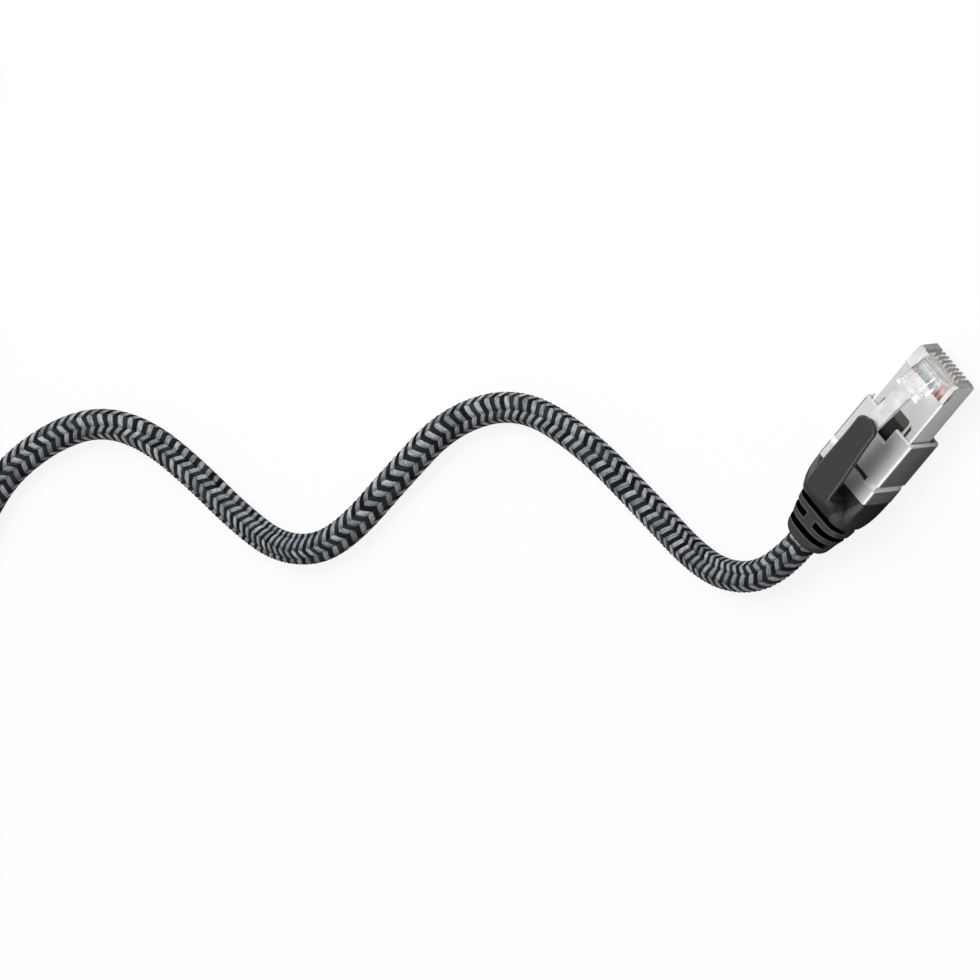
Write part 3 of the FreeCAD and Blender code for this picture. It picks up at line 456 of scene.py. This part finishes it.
def braidFinish():
    made = Finish("braidedYarn")
    along, column, _ = made.parts(made.node("ShaderNodeUVMap", {"uv_map": mapName}))
    where = made.place()
    wander = made.noise(where, 900.0, 2.0) - 0.5
    fine = made.noise(where, 4200.0, 2.0) - 0.5
    # stitches of neighbouring columns are a little out of step; the light yarn fills the first part
    # of each pitch, the dark yarn the rest, and each light stitch narrows where it ends
    which = column.floor()
    along = along + (which % 2.0) * yarn["outOfStep"]
    large, small = yarn["frayed"]
    part = (along + wander * large + fine * small) % 1.0
    taper = (column % 1.0).step(yarn["narrowFrom"], 1.0) * yarn["narrowing"]
    dark = (part + taper).step(*yarn["lightShare"])
    light = part.step(taper, taper + yarn["lightStart"]) * (1 - dark)
    stitch = made.vector((along * 2.0).floor(), which, 0.0)
    tone = made.node("ShaderNodeTexWhiteNoise", {"noise_dimensions": "3D"}, {"Vector": stitch})
    # filaments run along the stitch, so they are streaks and lines of one phase
    thread = made.vector(along * 9.0, column * 2.2, which * 3.7)
    streaks = made.noise(thread, 1.0, 3.0, 0.6) - 0.5
    strands = ((along + wander * small) * yarn["threads"]).sine()
    edge = abs((along * 2.0) % 1.0 - 0.5) * 2.0
    groove = edge.power(6.0)
    # a stitch lies on top where it starts and dives under the next column where it ends; painted shade
    # darkens both its ends and the grooves between stitches
    run = (column + (part * 2.0 % 1.0 - 0.5) * yarn["lean"]) % 1.0
    tuck = run.step(yarn["tuckFrom"], 1.0)
    rim = 1 - run.step(0.0, yarn["rimTo"])
    shade = yarn["level"] + tone * yarn["toneSpread"] + strands * yarn["strandSpread"]
    shade = shade + streaks * yarn["streakSpread"] + fine * yarn["fineSpread"]
    # painted shade: darker in the grooves, at the tucked end and at the rim where a stitch comes up
    shade = shade * (1 - groove * yarn["grooveDark"]) * (1 - tuck * yarn["tuckDark"])
    shade = (shade * (1 - rim * yarn["rimDark"])).larger(yarn["darkest"])
    colour = made.mix(light, made.mix(tone, *yarn["dark"]), made.mix(tone, *yarn["light"]))
    height = strands * 0.12 + streaks * 0.6 + (1 - groove) * 0.9 + (1 - tuck) * 0.6
    return made.surface({
        "Base Color": made.shaded(colour, shade), "Roughness": yarn["roughness"],
        "Normal": made.bump(height, yarn["bump"], 0.8), "Specular IOR Level": yarn["specular"],
    })


cordPiece, cordLine, cordLength = makeCord()
cordPiece.data.materials.append(braidFinish())
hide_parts("cord_free", "cord_coil", "cord_tail")
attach(cordPiece, "lead")


tie = {
    "x": (-214.55, -200.55),                 # inner faces of the strap's loop
    "z": (0.8, 13.6),
    "y": 165.0,
    "width": 9.0,
    "thickness": 0.8,
    "corner": 3.1,
    "cornerPoints": 10,
    "edge": 0.3,                             # rounding of the strap's own section
    "edgePoints": 4,
    "start": 4.0,                            # below the inner side's upper corner
    "lap": 9.0,
    "ramp": 2.5,
    "rings": 130,
    "threads": ((0.006, 0.006, 0.007, 1), (0.045, 0.045, 0.048, 1)),
    "fuzz": 0.0003,
}


# points round a rectangle whose corners are quarter circles, centre + radius * (cos a, sin a), from
# the upper right one on, and the directions (cos a, sin a); a fifth corner repeats the first
def roundedRectangle(low, high, radius, count, corners=4):
    atHigh = np.array([(1, 1), (0, 1), (0, 0), (1, 0), (1, 1)])[:corners]
    centres = np.where(atHigh, np.subtract(high, radius), np.add(low, radius))
    angle = np.radians(np.arange(corners)[:, None] * 90 + np.linspace(0, 90, count)[None, :])
    facing = np.stack([np.cos(angle), np.sin(angle)], axis=-1)
    return (centres[:, None, :] + radius * facing).reshape(-1, 2), facing.reshape(-1, 2)


# a strap round the bundle: in the x-z plane a point is base(s) + facing(s) * height, and across it y
# is the middle + width, where base and facing go round the rounded loop and (width, height) round the
# strap's section; it starts on the inner side, goes once round and laps over its start and the top
def makeTie():
    (left, right), (bottom, top) = tie["x"], tie["z"]
    loop, facing = roundedRectangle((left, bottom), (right, top), tie["corner"], tie["cornerPoints"], 5)
    reach = np.concatenate([[0], np.cumsum(np.linalg.norm(np.diff(loop, axis=0), axis=1))])
    once = reach[4 * tie["cornerPoints"]]    # once round, back to the first corner's first point
    along = np.linspace(-tie["start"], once + tie["lap"], tie["rings"])
    base = np.stack([np.interp(along % once, reach, loop[:, k]) for k in range(2)], axis=1)
    turned = np.interp(along % once, reach, np.unwrap(np.arctan2(facing[:, 1], facing[:, 0])))
    facing = np.stack([np.cos(turned), np.sin(turned)], axis=1)
    rise = np.clip((along - once + tie["start"] + tie["ramp"]) / tie["ramp"], 0, 1)
    base = base + facing * (rise * rise * (3 - 2 * rise) * tie["thickness"])[:, None]
    half = tie["width"] / 2
    section, _ = roundedRectangle((-half, 0), (half, tie["thickness"]), tie["edge"], tie["edgePoints"])
    grid = np.empty((len(base), len(section), 3))
    grid[..., 0::2] = base[:, None, :] + facing[:, None, :] * section[None, :, 1:]
    grid[..., 1] = tie["y"] + section[None, :, 0]
    uv = np.empty((len(base), len(section) + 1, 2))
    uv[..., 0] = along[:, None]
    uv[..., 1] = np.append(section[:, 0], section[0, 0])[None, :]
    return gridMesh("coilTie", grid * mm, uv)


def tieFinish():
    made = Finish("loopFabric")
    where = made.place()
    fuzz = made.noise(where, 2600.0, 4.0, 0.7)
    patch = made.noise(where, 500.0, 2.0)
    return made.surface({
        "Base Color": made.mix(fuzz.step(0.3, 0.75), *tie["threads"]), "Roughness": 0.9,
        "Normal": made.bump(fuzz + patch * 0.5, tie["fuzz"], 0.9),
        "Sheen Weight": 0.4, "Sheen Roughness": 0.5,
    })


tiePiece = makeTie()
tiePiece.data.materials.append(tieFinish())
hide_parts("coil_tie")
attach(tiePiece, "lead")
print("tie wound")


leverSkin = {
    # sections along the connector, in millimetres from the hood's mouth: station, half width, top,
    # underside, and the two half axes of the rounded top edge
    "sections": [
        (-23.25, 5.60, 4.45, 2.5, 5.0, 1.6),
        (-22.5, 5.75, 5.60, 2.6, 5.1, 2.7),
        (-21.7, 5.80, 6.95, 2.8, 5.0, 3.95),
        (-20.7, 5.60, 8.40, 3.0, 4.6, 5.2),
        (-19.8, 5.20, 9.40, 3.0, 3.9, 6.0),
        (-19.0, 4.60, 10.00, 3.2, 2.8, 5.6),
        (-18.1, 3.70, 10.38, 3.2, 1.4, 3.5),
        (-17.4, 3.22, 10.45, 3.6, 0.6, 0.7),
        (-16.9, 3.14, 10.46, 6.5, 0.5, 0.5),
        (-16.4, 3.10, 10.49, 9.15, 0.5, 0.5),
        (-15.9, 3.10, 10.53, 9.30, 0.5, 0.5),
        (-14.3, 3.08, 10.67, 9.46, 0.5, 0.5),
        (-3.0, 2.55, 11.82, 10.60, 0.5, 0.5),
        (0.95, 2.52, 12.22, 11.00, 0.5, 0.5),
    ],
    "neck": -15.5,                           # where the rings get wider apart
    "rings": (42, 22, 14, 7),                # up to the neck, up to the tip's arc, on it, on its edge
    "cornerRadius": 1.9,                     # of the tip, seen from above
    "tipRound": 0.42,
    "tipEdge": 0.5,                          # half axes of the top edge at the tip
    "leastEdge": 0.05,
    "mostAcross": 0.95,                      # the top edge takes at most this share of the half width
    "mostUp": 0.85,                          # and this one of the height
    "foot": 0.3,                             # rounding of the lower edge
    "hinge": (-18.0, -16.3),                 # the stretch that bends when the lever is pressed
    "hingeHeight": 9.75,
}


# smooth values between the sections: each stretch is a cubic with the slopes of its neighbours
def smoothRow(keys, at):
    keys = np.asarray(keys, float)
    x, values = keys[:, 0], keys[:, 1:]
    slope = np.gradient(values, x, axis=0)
    k = np.clip(np.searchsorted(x, at, "right") - 1, 0, len(x) - 2)
    span = (x[k + 1] - x[k])[:, None]
    t = ((at - x[k])[:, None]) / span
    return ((1 + 2 * t) * (1 - t) ** 2 * values[k] + t * (1 - t) ** 2 * span * slope[k]
            + t * t * (3 - 2 * t) * values[k + 1] + t * t * (t - 1) * span * slope[k + 1])


# half of the lever's section, from the middle of its top round to the middle of its underside, in
# shares of half width, edge width and foot across, and of top, edge height, underside and foot
# upwards: flat top, elliptic edge, upright side, round foot, flat underside
def halfSection():
    flat, side, floor = np.linspace(0, 1, 5)[:-1], np.array([0.75, 0.5, 0.25]), np.array([0.5, 0])
    edge, foot = np.linspace(np.pi / 2, 0, 9), np.linspace(np.pi / 2, 0, 4)

    def shares(*terms):
        return np.stack(np.broadcast_arrays(*terms), axis=1)

    across = [
        shares(flat, -flat, 0), shares(1, np.cos(edge) - 1, 0), shares(1, 0, 0 * side),
        shares(1, 0, np.sin(foot) - 1), shares(floor, 0, -floor),
    ]
    upward = [
        shares(1, 0, 0, 0 * flat), shares(1, np.sin(edge) - 1, 0, 0),
        shares(side, -side, 1 - side, 1 - side), shares(0, 0, 1, 1 - np.cos(foot)),
        shares(0, 0, 1, 0 * floor),
    ]
    return np.vstack(across), np.vstack(upward)


# a bar along x whose section has a flat underside, upright sides and elliptic top edges; its tip is
# rounded as seen from above by an arc, and its last edge is rounded over by a quarter circle
def makeLeverSkin(end):
    start, tip = leverSkin["sections"][0][0], leverSkin["sections"][-1][0]
    corner, edge, neck = leverSkin["cornerRadius"], leverSkin["tipRound"], leverSkin["neck"]
    rootRings, armRings, arcRings, edgeRings = leverSkin["rings"]
    straight = np.concatenate([
        np.linspace(start, neck, rootRings, endpoint=False),
        np.linspace(neck, tip - corner, armRings, endpoint=False),
    ])
    swing = np.linspace(0, 1, arcRings) * np.pi / 2
    at = np.concatenate([straight, tip - corner + corner * np.sin(swing)])
    half, top, under, wide, tall = smoothRow(leverSkin["sections"], at).T
    half = half - np.concatenate([np.zeros(len(straight)), corner * (1 - np.cos(swing))])
    # the tip's last edge, for which the rings of the arc move back a little
    roll = np.linspace(0, np.pi / 2, edgeRings)[1:]
    inset = edge * (1 - np.cos(roll))
    at = at - edge * np.clip(at - tip + corner, 0, None) / corner
    at = np.concatenate([at, tip - edge + edge * np.sin(roll)])
    half = np.concatenate([half, half[-1] - inset])
    top = np.concatenate([top, top[-1] - inset])
    under = np.concatenate([under, under[-1] + inset])
    tipEdge = np.full(len(roll), leverSkin["tipEdge"])
    wide = np.concatenate([wide, tipEdge]).clip(leverSkin["leastEdge"], None)
    wide = np.minimum(wide, leverSkin["mostAcross"] * half)
    tall = np.minimum(np.concatenate([tall, tipEdge]), leverSkin["mostUp"] * (top - under))
    foot = leverSkin["foot"] * np.minimum(1, top - under)
    across, upward = halfSection()
    y = np.stack([half, wide, foot], axis=1) @ across.T
    z = np.stack([top, tall, under, foot], axis=1) @ upward.T
    y = np.hstack([y, -y[:, -2:0:-1]])
    z = np.hstack([z, z[:, -2:0:-1]])
    grid = np.stack([np.broadcast_to(at[:, None], y.shape), y, z], axis=-1)
    around = np.linspace(0, 1, y.shape[1] + 1)
    uv = np.stack(np.broadcast_arrays(at[:, None] / 10, around[None, :]), axis=-1)
    piece = gridMesh(f"{end}LeverSkin", (grid + ends[end]) * mm, uv)
    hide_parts(f"{end}_press_lever")
    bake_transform(piece)
    return piece


leverPieces = [makeLeverSkin(end) for end in ends]
print("lever skins made")


studio = {
    "floorColour": 0.92,
    "paintedFloorReflection": 0.16,                    # a painted dark reflection: the floor's tone as metal reflects it
    "floorReach": 4.0,
    "floorHeight": -0.00002,                 # a hair under the object
    "whiteShare": 0.88,                      # of the floor that the camera sees as plain white
    "keyDirection": (0.30, 0.40, 0.87),
    "keyTarget": (-0.05, 0.06, 0.0),
    "keyDistance": 0.9,
    "keySize": 0.6,
    "keyPower": 6.8,
    "worldLevel": 0.36,
    "lighter": (0.085, 0.930, 0.357),        # the side from which the room is lighter
    "lighterBy": 1.1,
    "farSide": 0.45,                         # what the opposite side has of the room's light
    "bright": (-0.45, 0.36, 0.82),           # where metal sees the broad bright side of the room
    "strip": (-0.45, -0.82, 0.36),           # and where its edges see a strip light
    "skyDark": 0.33,
    "skyBright": 0.98,
    "skyStrip": 1.9,
    "skyThrough": 0.72,                      # what clear plastic shows in its own faces
}


# white to the camera, also through clear plastic, shaded a little by what stands on it, and painted
# dark where metal reflects it
def makeFloor():
    reach, height = studio["floorReach"], studio["floorHeight"]
    mesh = bpy.data.meshes.new("floor")
    corners = [(x * reach, y * reach, height) for x, y in ((-1, -1), (1, -1), (1, 1), (-1, 1))]
    mesh.from_pydata(corners, [], [(0, 1, 2, 3)])
    floor = newObject("floor", mesh)
    made = Finish("paleFloor")
    camera, glossy, through, passed = made.rays()
    share = (camera + through).smaller(1.0) * studio["whiteShare"]
    metal = glossy * (1 - passed.smaller(1.0))
    # painted reflection: mirrored rays see the floor darker than it is
    tone = made.mix(metal, grey(studio["floorColour"]), grey(studio["paintedFloorReflection"]))
    matt = made.node("ShaderNodeBsdfDiffuse", None, {"Color": tone})
    white = made.node("ShaderNodeEmission", None, {"Color": grey(1.0), "Strength": 1.0})
    mesh.materials.append(made.mixed(share, matt, white))


# the room is white to the camera, a dark sky with a bright side and a strip for what mirrors it, and
# a plain light with one lighter side for all else
def makeLight():
    world = bpy.data.worlds.new("studio")
    bpy.context.scene.world = world
    made = Finish("studio", world)
    camera, glossy, through, passed = made.rays()
    where = made.node("ShaderNodeTexCoord", output="Generated")
    bright, strip, lighter = (
        made.node("ShaderNodeVectorMath", {"operation": "DOT_PRODUCT"},
                  {0: where, 1: Vector(studio[name]).normalized()}, 1)
        for name in ("bright", "strip", "lighter"))
    sky = studio["skyDark"] + bright.step(0.1, 1.0) * (studio["skyBright"] - studio["skyDark"])
    sky = sky.larger(strip.step(0.80, 0.95) * studio["skyStrip"])
    sky = sky.larger(passed.smaller(1.0) * studio["skyThrough"])
    white = (camera + through).smaller(1.0)
    plain = studio["farSide"] + lighter.step(-0.8, 0.8) * studio["lighterBy"]
    other = glossy * sky + (1 - glossy) * (plain * studio["worldLevel"])
    level = white + (1 - white) * other
    made.close(made.node("ShaderNodeBackground", None, {"Color": grey(1.0), "Strength": level}),
               "ShaderNodeOutputWorld")
    towards = Vector(studio["keyDirection"]).normalized()
    data = bpy.data.lights.new("key", "AREA")
    data.shape = "SQUARE"
    data.size = studio["keySize"]
    data.energy = studio["keyPower"]
    lamp = newObject("key", data)
    lamp.location = Vector(studio["keyTarget"]) + towards * studio["keyDistance"]
    lamp.rotation_mode = "QUATERNION"
    lamp.rotation_quaternion = (-towards).to_track_quat("-Z", "Y")
    lamp.visible_glossy = False


makeFloor()
makeLight()
bpy.context.scene.view_settings.view_transform = "Standard"
print("floor and light made")


# the black mouldings of a connector; lengths are millimetres from the hood's mouth
moulding = {
    "boot": (0.016, 0.017, 0.019, 1),
    "lever": ((0.011, 0.012, 0.014, 1), (0.016, 0.017, 0.019, 1)),
    "foot": (0.050, 0.052, 0.054, 1),        # painted light on the lever's hump where it stands on the boot, paler to lift the shade of the crease
    "shoulderHighlight": (0.105, 0.108, 0.110, 1),    # a painted highlight along the boot's upper edges
    "bandSlope": 0.39,                       # the band's middle is at |y| = slope * x + start
    "bandStart": 12.93,
    "bandWidth": (0.95, 0.40),
    "rim": (0.105, 0.107, 0.110, 1),         # a painted highlight on the lever's rims
    "rimWidth": (0.07, 0.03),
    "roughness": 0.42,
    "grain": 0.000012,
    "relief": ((0.011, 0.0115, 0.012, 1), (0.017, 0.018, 0.019, 1)),
    # painted highlight on the lips beside the slots
    "lipHighlight": ((0.035, 0.037, 0.038, 1), (0.060, 0.062, 0.064, 1)),
    "slots": ((-23.3, False), (-25.9, True), (-28.4, False)),     # front, and whether they are upright
    "slotWidth": 1.2,
    "slotEnds": (1.15, 1.3),
    # painted shade deep in the slots
    "slotShadeBlack": 0.0015,
}


# 1 along the boot's long upper edges, where a painted highlight runs inwards from the hood's corners
def shoulderHighlightBand(x, y, z):
    line = abs(abs(y) - x * moulding["bandSlope"] - moulding["bandStart"]).step(*moulding["bandWidth"])
    return line * z.step(3.6, 4.2) * x.between(-22.6, -15.8, 0.5)


# black moulding, with a painted highlight along the boot's shoulders
def bootFinish():
    made = Finish("mouldedBlack")
    where = made.place()
    x, y, z = made.local()
    fine = made.noise(where, 9000.0, 2.0)
    cloud = made.noise(where, 260.0, 3.0)
    dust = made.noise(where, 3200.0, 2.0)
    base = made.shaded(moulding["boot"], 0.9 + (cloud - 0.5) * 0.35)
    base = made.mix(shoulderHighlightBand(x, y, z) * (0.6 + cloud * 0.4), base, moulding["shoulderHighlight"])
    rough = moulding["roughness"] + (cloud - 0.5) * 0.16 + (dust - 0.5) * 0.1
    return made.surface({
        "Base Color": base, "Roughness": rough,
        "Normal": made.bump(fine, moulding["grain"], 0.6), "IOR": 1.5,
    })


# the lever's moulding, with a painted highlight along its two rims; the first side of the piece's own
# map runs along it, the second round its section, with the rims at 0.12 to 0.24 and at 0.76 to 0.88
def leverFinish():
    made = Finish("leverBlack")
    along, around, _ = made.parts(made.node("ShaderNodeUVMap", {"uv_map": mapName}))
    where = made.place()
    x, y, z = made.local()
    fine = made.noise(where, 9000.0, 2.0)
    cloud = made.noise(where, 260.0, 3.0)
    # painted highlight along the lever's two rims
    rim = abs(abs(around - 0.5) - 0.32).step(*moulding["rimWidth"]) * along.step(-1.95, -1.80)
    # painted light: the hump's foot is paler where shade falls in the crease with the boot
    foot = abs(y).step(3.2, 4.2) * (1 - z.step(6.2, 7.6)) * (1 - x.step(-18.6, -17.8))
    base = made.mix(foot, made.mix(cloud, *moulding["lever"]), moulding["foot"])
    # the painted highlight along the boot's shoulders, where the lever covers them
    base = made.mix(shoulderHighlightBand(x, y, z) * (0.6 + cloud * 0.4), base, moulding["shoulderHighlight"])
    return made.surface({
        "Base Color": made.mix(rim * (0.5 + cloud * 0.6), base, moulding["rim"]),
        "Roughness": moulding["roughness"] + (cloud - 0.5) * 0.16,
        "Normal": made.bump(fine, moulding["grain"], 0.6), "IOR": 1.5,
    })


# soft black rubber: painted shade, dead black, inside the three rows of slots, and a painted highlight
# on the lips beside them
def reliefRubber():
    made = Finish("reliefBlack")
    where = made.place()
    x, y, z = made.local()
    fine = made.noise(where, 6000.0, 3.0)
    cloud = made.noise(where, 400.0, 3.0)
    slotShade, lipHighlight = 0.0, 0.0
    for front, upright in moulding["slots"]:
        reach = abs(y) if upright else abs(z + 0.4)
        rear = front - moulding["slotWidth"]
        # painted shade in the slots and painted highlight on their lips
        slotShade = x.between(rear - 0.02, front + 0.02, 0.01) * reach.step(*moulding["slotEnds"]) + slotShade
        lipHighlight = x.between(rear - 0.30, front + 0.30, 0.15) * reach.step(0.8, 1.2) + lipHighlight
    lipHighlightColour = made.mix(cloud, *moulding["lipHighlight"])
    skin = made.node("ShaderNodeBsdfPrincipled", None, {
        "Base Color": made.mix(lipHighlight.smaller(1.0), made.mix(cloud, *moulding["relief"]), lipHighlightColour),
        "Roughness": 0.48 + (cloud - 0.5) * 0.2, "Normal": made.bump(fine, 0.00001, 0.6),
    })
    slotShadeShader = made.node("ShaderNodeBsdfDiffuse", None, {"Color": grey(moulding["slotShadeBlack"])})
    return made.mixed(slotShade.smaller(1.0), skin, slotShadeShader)


# the two metals; lengths are millimetres from the hood's mouth
metal = {
    "satin": ((0.66, 0.66, 0.67, 1), (0.74, 0.74, 0.745, 1)),
    # machined cut edges, painted near white as a highlight too
    "cutEdgesAndHighlight": (0.98, 0.98, 0.97, 1),
    "groove": (-12.11, -10.79),
    "mouth": (-0.24, -0.20),                 # the front chamfer starts between these two
    "rear": (-15.42, -15.38),
    "notchSide": (2.26, 2.22),
    "notchEnd": (-3.93, -3.90),
    # painted light: the top darker and the sides paler, and the fold a painted highlight
    "plated": ((0.57, 0.56, 0.55, 1), (0.62, 0.61, 0.60, 1)),
    "platedSides": ((0.90, 0.88, 0.865, 1), (0.96, 0.94, 0.925, 1)),
    "fold": (1.0, 1.0, 1.0, 1),
    "shine": 0.30,                           # of the sheet's sides, and half of it on its top
}


# blasted outside, with the cut edges machined bright and also painted near white as a highlight: the
# mouth's and rear's chamfers, the notch's walls and the band groove
def hoodMetal():
    made = Finish("blastedMetal")
    where = made.place()
    x, y, z = made.local()
    fine = made.noise(where, 7000.0, 3.0)
    cloud = made.noise(where, 300.0, 2.0)
    rims = x.step(*metal["mouth"]) + (1 - x.step(*metal["rear"]))
    notch = abs(y).step(*metal["notchSide"]) * x.step(*metal["notchEnd"]) * z.step(2.5, 2.8)
    # machined edges, made white and less metallic as a painted highlight
    cutAndHighlight = (x.between(*metal["groove"]) + rims + notch).smaller(1.0)
    rough = 0.38 + (cloud - 0.5) * 0.12 + (fine - 0.5) * 0.15
    return made.surface({
        "Base Color": made.mix(cutAndHighlight, made.mix(cloud, *metal["satin"]), metal["cutEdgesAndHighlight"]),
        "Metallic": 1 - cutAndHighlight * 0.65 - notch * 0.35 - z.step(4.80, 4.86) * (1 - cutAndHighlight) * 0.40,
        "Roughness": rough * (1 - cutAndHighlight * 0.4), "Normal": made.bump(fine, 0.000008, 0.6),
    })


# smooth plated sheet, with the light painted in: darker on its top, paler on its sides, and a painted
# highlight in white along the line where it folds over at the top
def shieldMetal():
    made = Finish("stampedSheet")
    _, y, z = made.local()
    fine = made.noise(made.place((0.2, 1.0, 1.0)), 3000.0, 2.0)
    cloud = made.noise(made.place(), 240.0, 2.0)
    # painted highlight along the fold
    fold = abs(y).step(5.40, 5.50) * z.step(3.60, 3.70)
    upper = z.step(3.4, 3.65)
    # painted light: top and sides in different tones
    sheet = made.mix(upper, made.mix(cloud, *metal["platedSides"]), made.mix(cloud, *metal["plated"]))
    return made.surface({
        "Base Color": made.mix(fold, sheet, metal["fold"]),
        "Metallic": metal["shine"] - upper * (metal["shine"] / 2),
        "Roughness": 0.30 + (cloud - 0.5) * 0.10 + (fine - 0.5) * 0.08,
        "Normal": made.bump(fine, 0.000002, 0.4),
    })


# the clear mouldings: tint, share of light let through, roughness, and the tint that haze turns to
polycarbonate = {
    "plug": ((0.94, 0.935, 0.925, 1), 0.95, 0.07, 0.96),
    "plugNose": ((0.84, 0.835, 0.82, 1), 0.78, 0.1, 0.96),
    "latch": ((0.82, 0.82, 0.815, 1), 0.96, 0.05, 0.86),
    "noseFrom": (10.6, 12.2),                # millimetres from the hood's mouth
    "latchHaze": (0.44, 0.435, 0.43, 1),     # the haze of its tab, and painted shade on the tab's side faces
    "latchSideShade": (0.16, 0.16, 0.16, 1),
}


# polycarbonate, hazy with the light that its own faces scatter
def clearShader(made, tint, through, roughness, palest):
    haze = made.noise(made.place(), 500.0, 2.0)
    return made.node("ShaderNodeBsdfPrincipled", None, {
        "Base Color": made.mix(haze, tint, grey(palest)),
        "Roughness": roughness + (haze - 0.5) * 0.08, "IOR": 1.45, "Transmission Weight": through,
        "Normal": made.bump(haze, 0.00001, 0.4),
    })


# the plug is milky at its nose, round the contact slots
def clearPlastic():
    made = Finish("clearPlastic")
    x, _, _ = made.local()
    clear = clearShader(made, *polycarbonate["plug"])
    milky = clearShader(made, *polycarbonate["plugNose"])
    return made.mixed(x.step(*polycarbonate["noseFrom"]), clear, milky)


# the latch is clear over the wires and milky behind its shoulders, with a painted highlight in white on
# their rear edges and painted shade on the tab's side faces
def latchPlastic():
    made = Finish("latchPlastic")
    x, y, z = made.local()
    # painted highlight on the shoulders' rear edges
    latchShoulderHighlight = x.between(7.95, 8.5) * abs(y).step(1.45, 1.6) * z.step(5.5, 6.5)
    # painted shade on the tab's side faces
    sides = abs(y).step(1.50, 1.58) * (1 - x.step(7.7, 7.9))
    haze = made.mix(sides, polycarbonate["latchHaze"], polycarbonate["latchSideShade"])
    milky = clearShader(made, made.mix(latchShoulderHighlight, haze, grey(1.0)), 0.20, 0.25, 0.96)
    clear = clearShader(made, *polycarbonate["latch"])
    return made.mixed(x.step(8.4, 9.6) * (1 - latchShoulderHighlight), milky, clear)


# the sleeve behind the wires: browner and paler at the window, with painted shade, black, under the
# hood and beyond the window's sides
def managerFinish():
    made = Finish("managerDark")
    x, y, _ = made.local()
    cloud = made.noise(made.place(), 600.0, 3.0)
    # painted shade: black except at the window
    outsideHoodShade = (x + (cloud - 0.5) * 0.5).step(0.1, 0.4) * abs(y).step(3.1, 2.8)
    return made.surface({
        "Base Color": made.mix(outsideHoodShade, (0.008, 0.008, 0.008, 1), (0.075, 0.069, 0.061, 1)),
        "Roughness": 0.45 + (cloud - 0.5) * 0.2, "Normal": made.bump(cloud, 0.00004, 0.6),
    })


def guideFinish():
    made = Finish("guidePlastic")
    haze = made.noise(made.place(), 900.0, 3.0)
    return made.surface({
        "Base Color": made.mix(haze, grey(0.42), grey(0.6)), "Roughness": 0.35 + (haze - 0.5) * 0.2,
        "IOR": 1.45, "Normal": made.bump(haze, 0.00002, 0.5),
    })


# inner metals: two tones, roughness, and the scale of the pattern between them
def brightMetal(name, first, second, roughness, scale):
    made = Finish(name)
    fine = made.noise(made.place(), scale, 3.0)
    return made.surface({
        "Base Color": made.mix(fine, first, second), "Metallic": 1.0,
        "Roughness": roughness + (fine - 0.5) * 0.2, "Normal": made.bump(fine, 0.00001, 0.6),
    })


wires = {
    "white": (0.66, 0.64, 0.61, 1),
    "orange": (0.90, 0.17, 0.07, 1),
    "green": (0.02, 0.36, 0.30, 1),
    "blue": (0.02, 0.20, 0.28, 1),
    "brown": (0.24, 0.13, 0.09, 1),
}


# the two wires of a pair: one in the pair's colour, the other white with a coloured stripe; divide
# is the middle line between the two, and side tells on which side of it the striped one lies
def wireFinish(name, colour, divide, side):
    made = Finish(name)
    x, y, _ = made.local()
    fine = made.noise(made.place(), 3000.0, 2.0)
    stripe = (x * 1.5 + fine * 0.6).sine().step(-0.3, -0.1)
    striped = ((y - divide) * side).step(-0.05, 0.05)
    return made.surface({
        "Base Color": made.mix(striped, wires[colour], made.mix(stripe, wires["white"], wires[colour])),
        "Roughness": 0.38 + (fine - 0.5) * 0.1, "Normal": made.bump(fine, 0.00001, 0.4),
    })


finishes = {
    "clear": clearPlastic(),
    "tab": latchPlastic(),
    "gold": brightMetal("contactGold", (0.88, 0.74, 0.50, 1), (0.80, 0.67, 0.45, 1), 0.3, 4000.0),
    "guide": guideFinish(),
    "manager": managerFinish(),
    "foil": brightMetal("pairFoil", (0.80, 0.80, 0.81, 1), (0.66, 0.66, 0.68, 1), 0.28, 1500.0),
    "sheet": shieldMetal(),
    "hood": hoodMetal(),
    "moulded": bootFinish(),
    "lever": leverFinish(),
    "relief": reliefRubber(),
    "braid": brightMetal("braidWire", (0.72, 0.70, 0.68, 1), (0.5, 0.48, 0.46, 1), 0.35, 2500.0),
    "ring": brightMetal("ringMetal", (0.70, 0.70, 0.71, 1), (0.62, 0.62, 0.63, 1), 0.3, 2500.0),
    "orange": wireFinish("wireOrange", "orange", -3.05, -1),
    "green": wireFinish("wireGreen", "green", 0.0, -1),
    "blue": wireFinish("wireBlue", "blue", 0.0, 1),
    "brown": wireFinish("wireBrown", "brown", 3.05, -1),
}
finishOf = {
    "plug_body": "clear", "latch": "tab", "contacts": "gold", "wire_guide": "guide",
    "pair_manager": "manager", "pair_screens": "foil", "plug_shield": "sheet", "hood": "hood",
    "boot": "moulded", "press_lever": "moulded", "strain_relief": "relief", "cable_end": "moulded",
    "braid_fold": "braid", "crimp_ring": "ring", "orange_pair": "orange", "green_pair": "green",
    "blue_pair": "blue", "brown_pair": "brown",
}
for piece in leverPieces:
    piece.data.materials.append(finishes["lever"])
for end in ends:
    for part, look in finishOf.items():
        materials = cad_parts[f"{end}_{part}"].data.materials
        materials.clear()
        materials.append(finishes[look])
    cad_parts[f"{end}_latch"].visible_shadow = False     # light passes through the clear latch
print("finishes set")
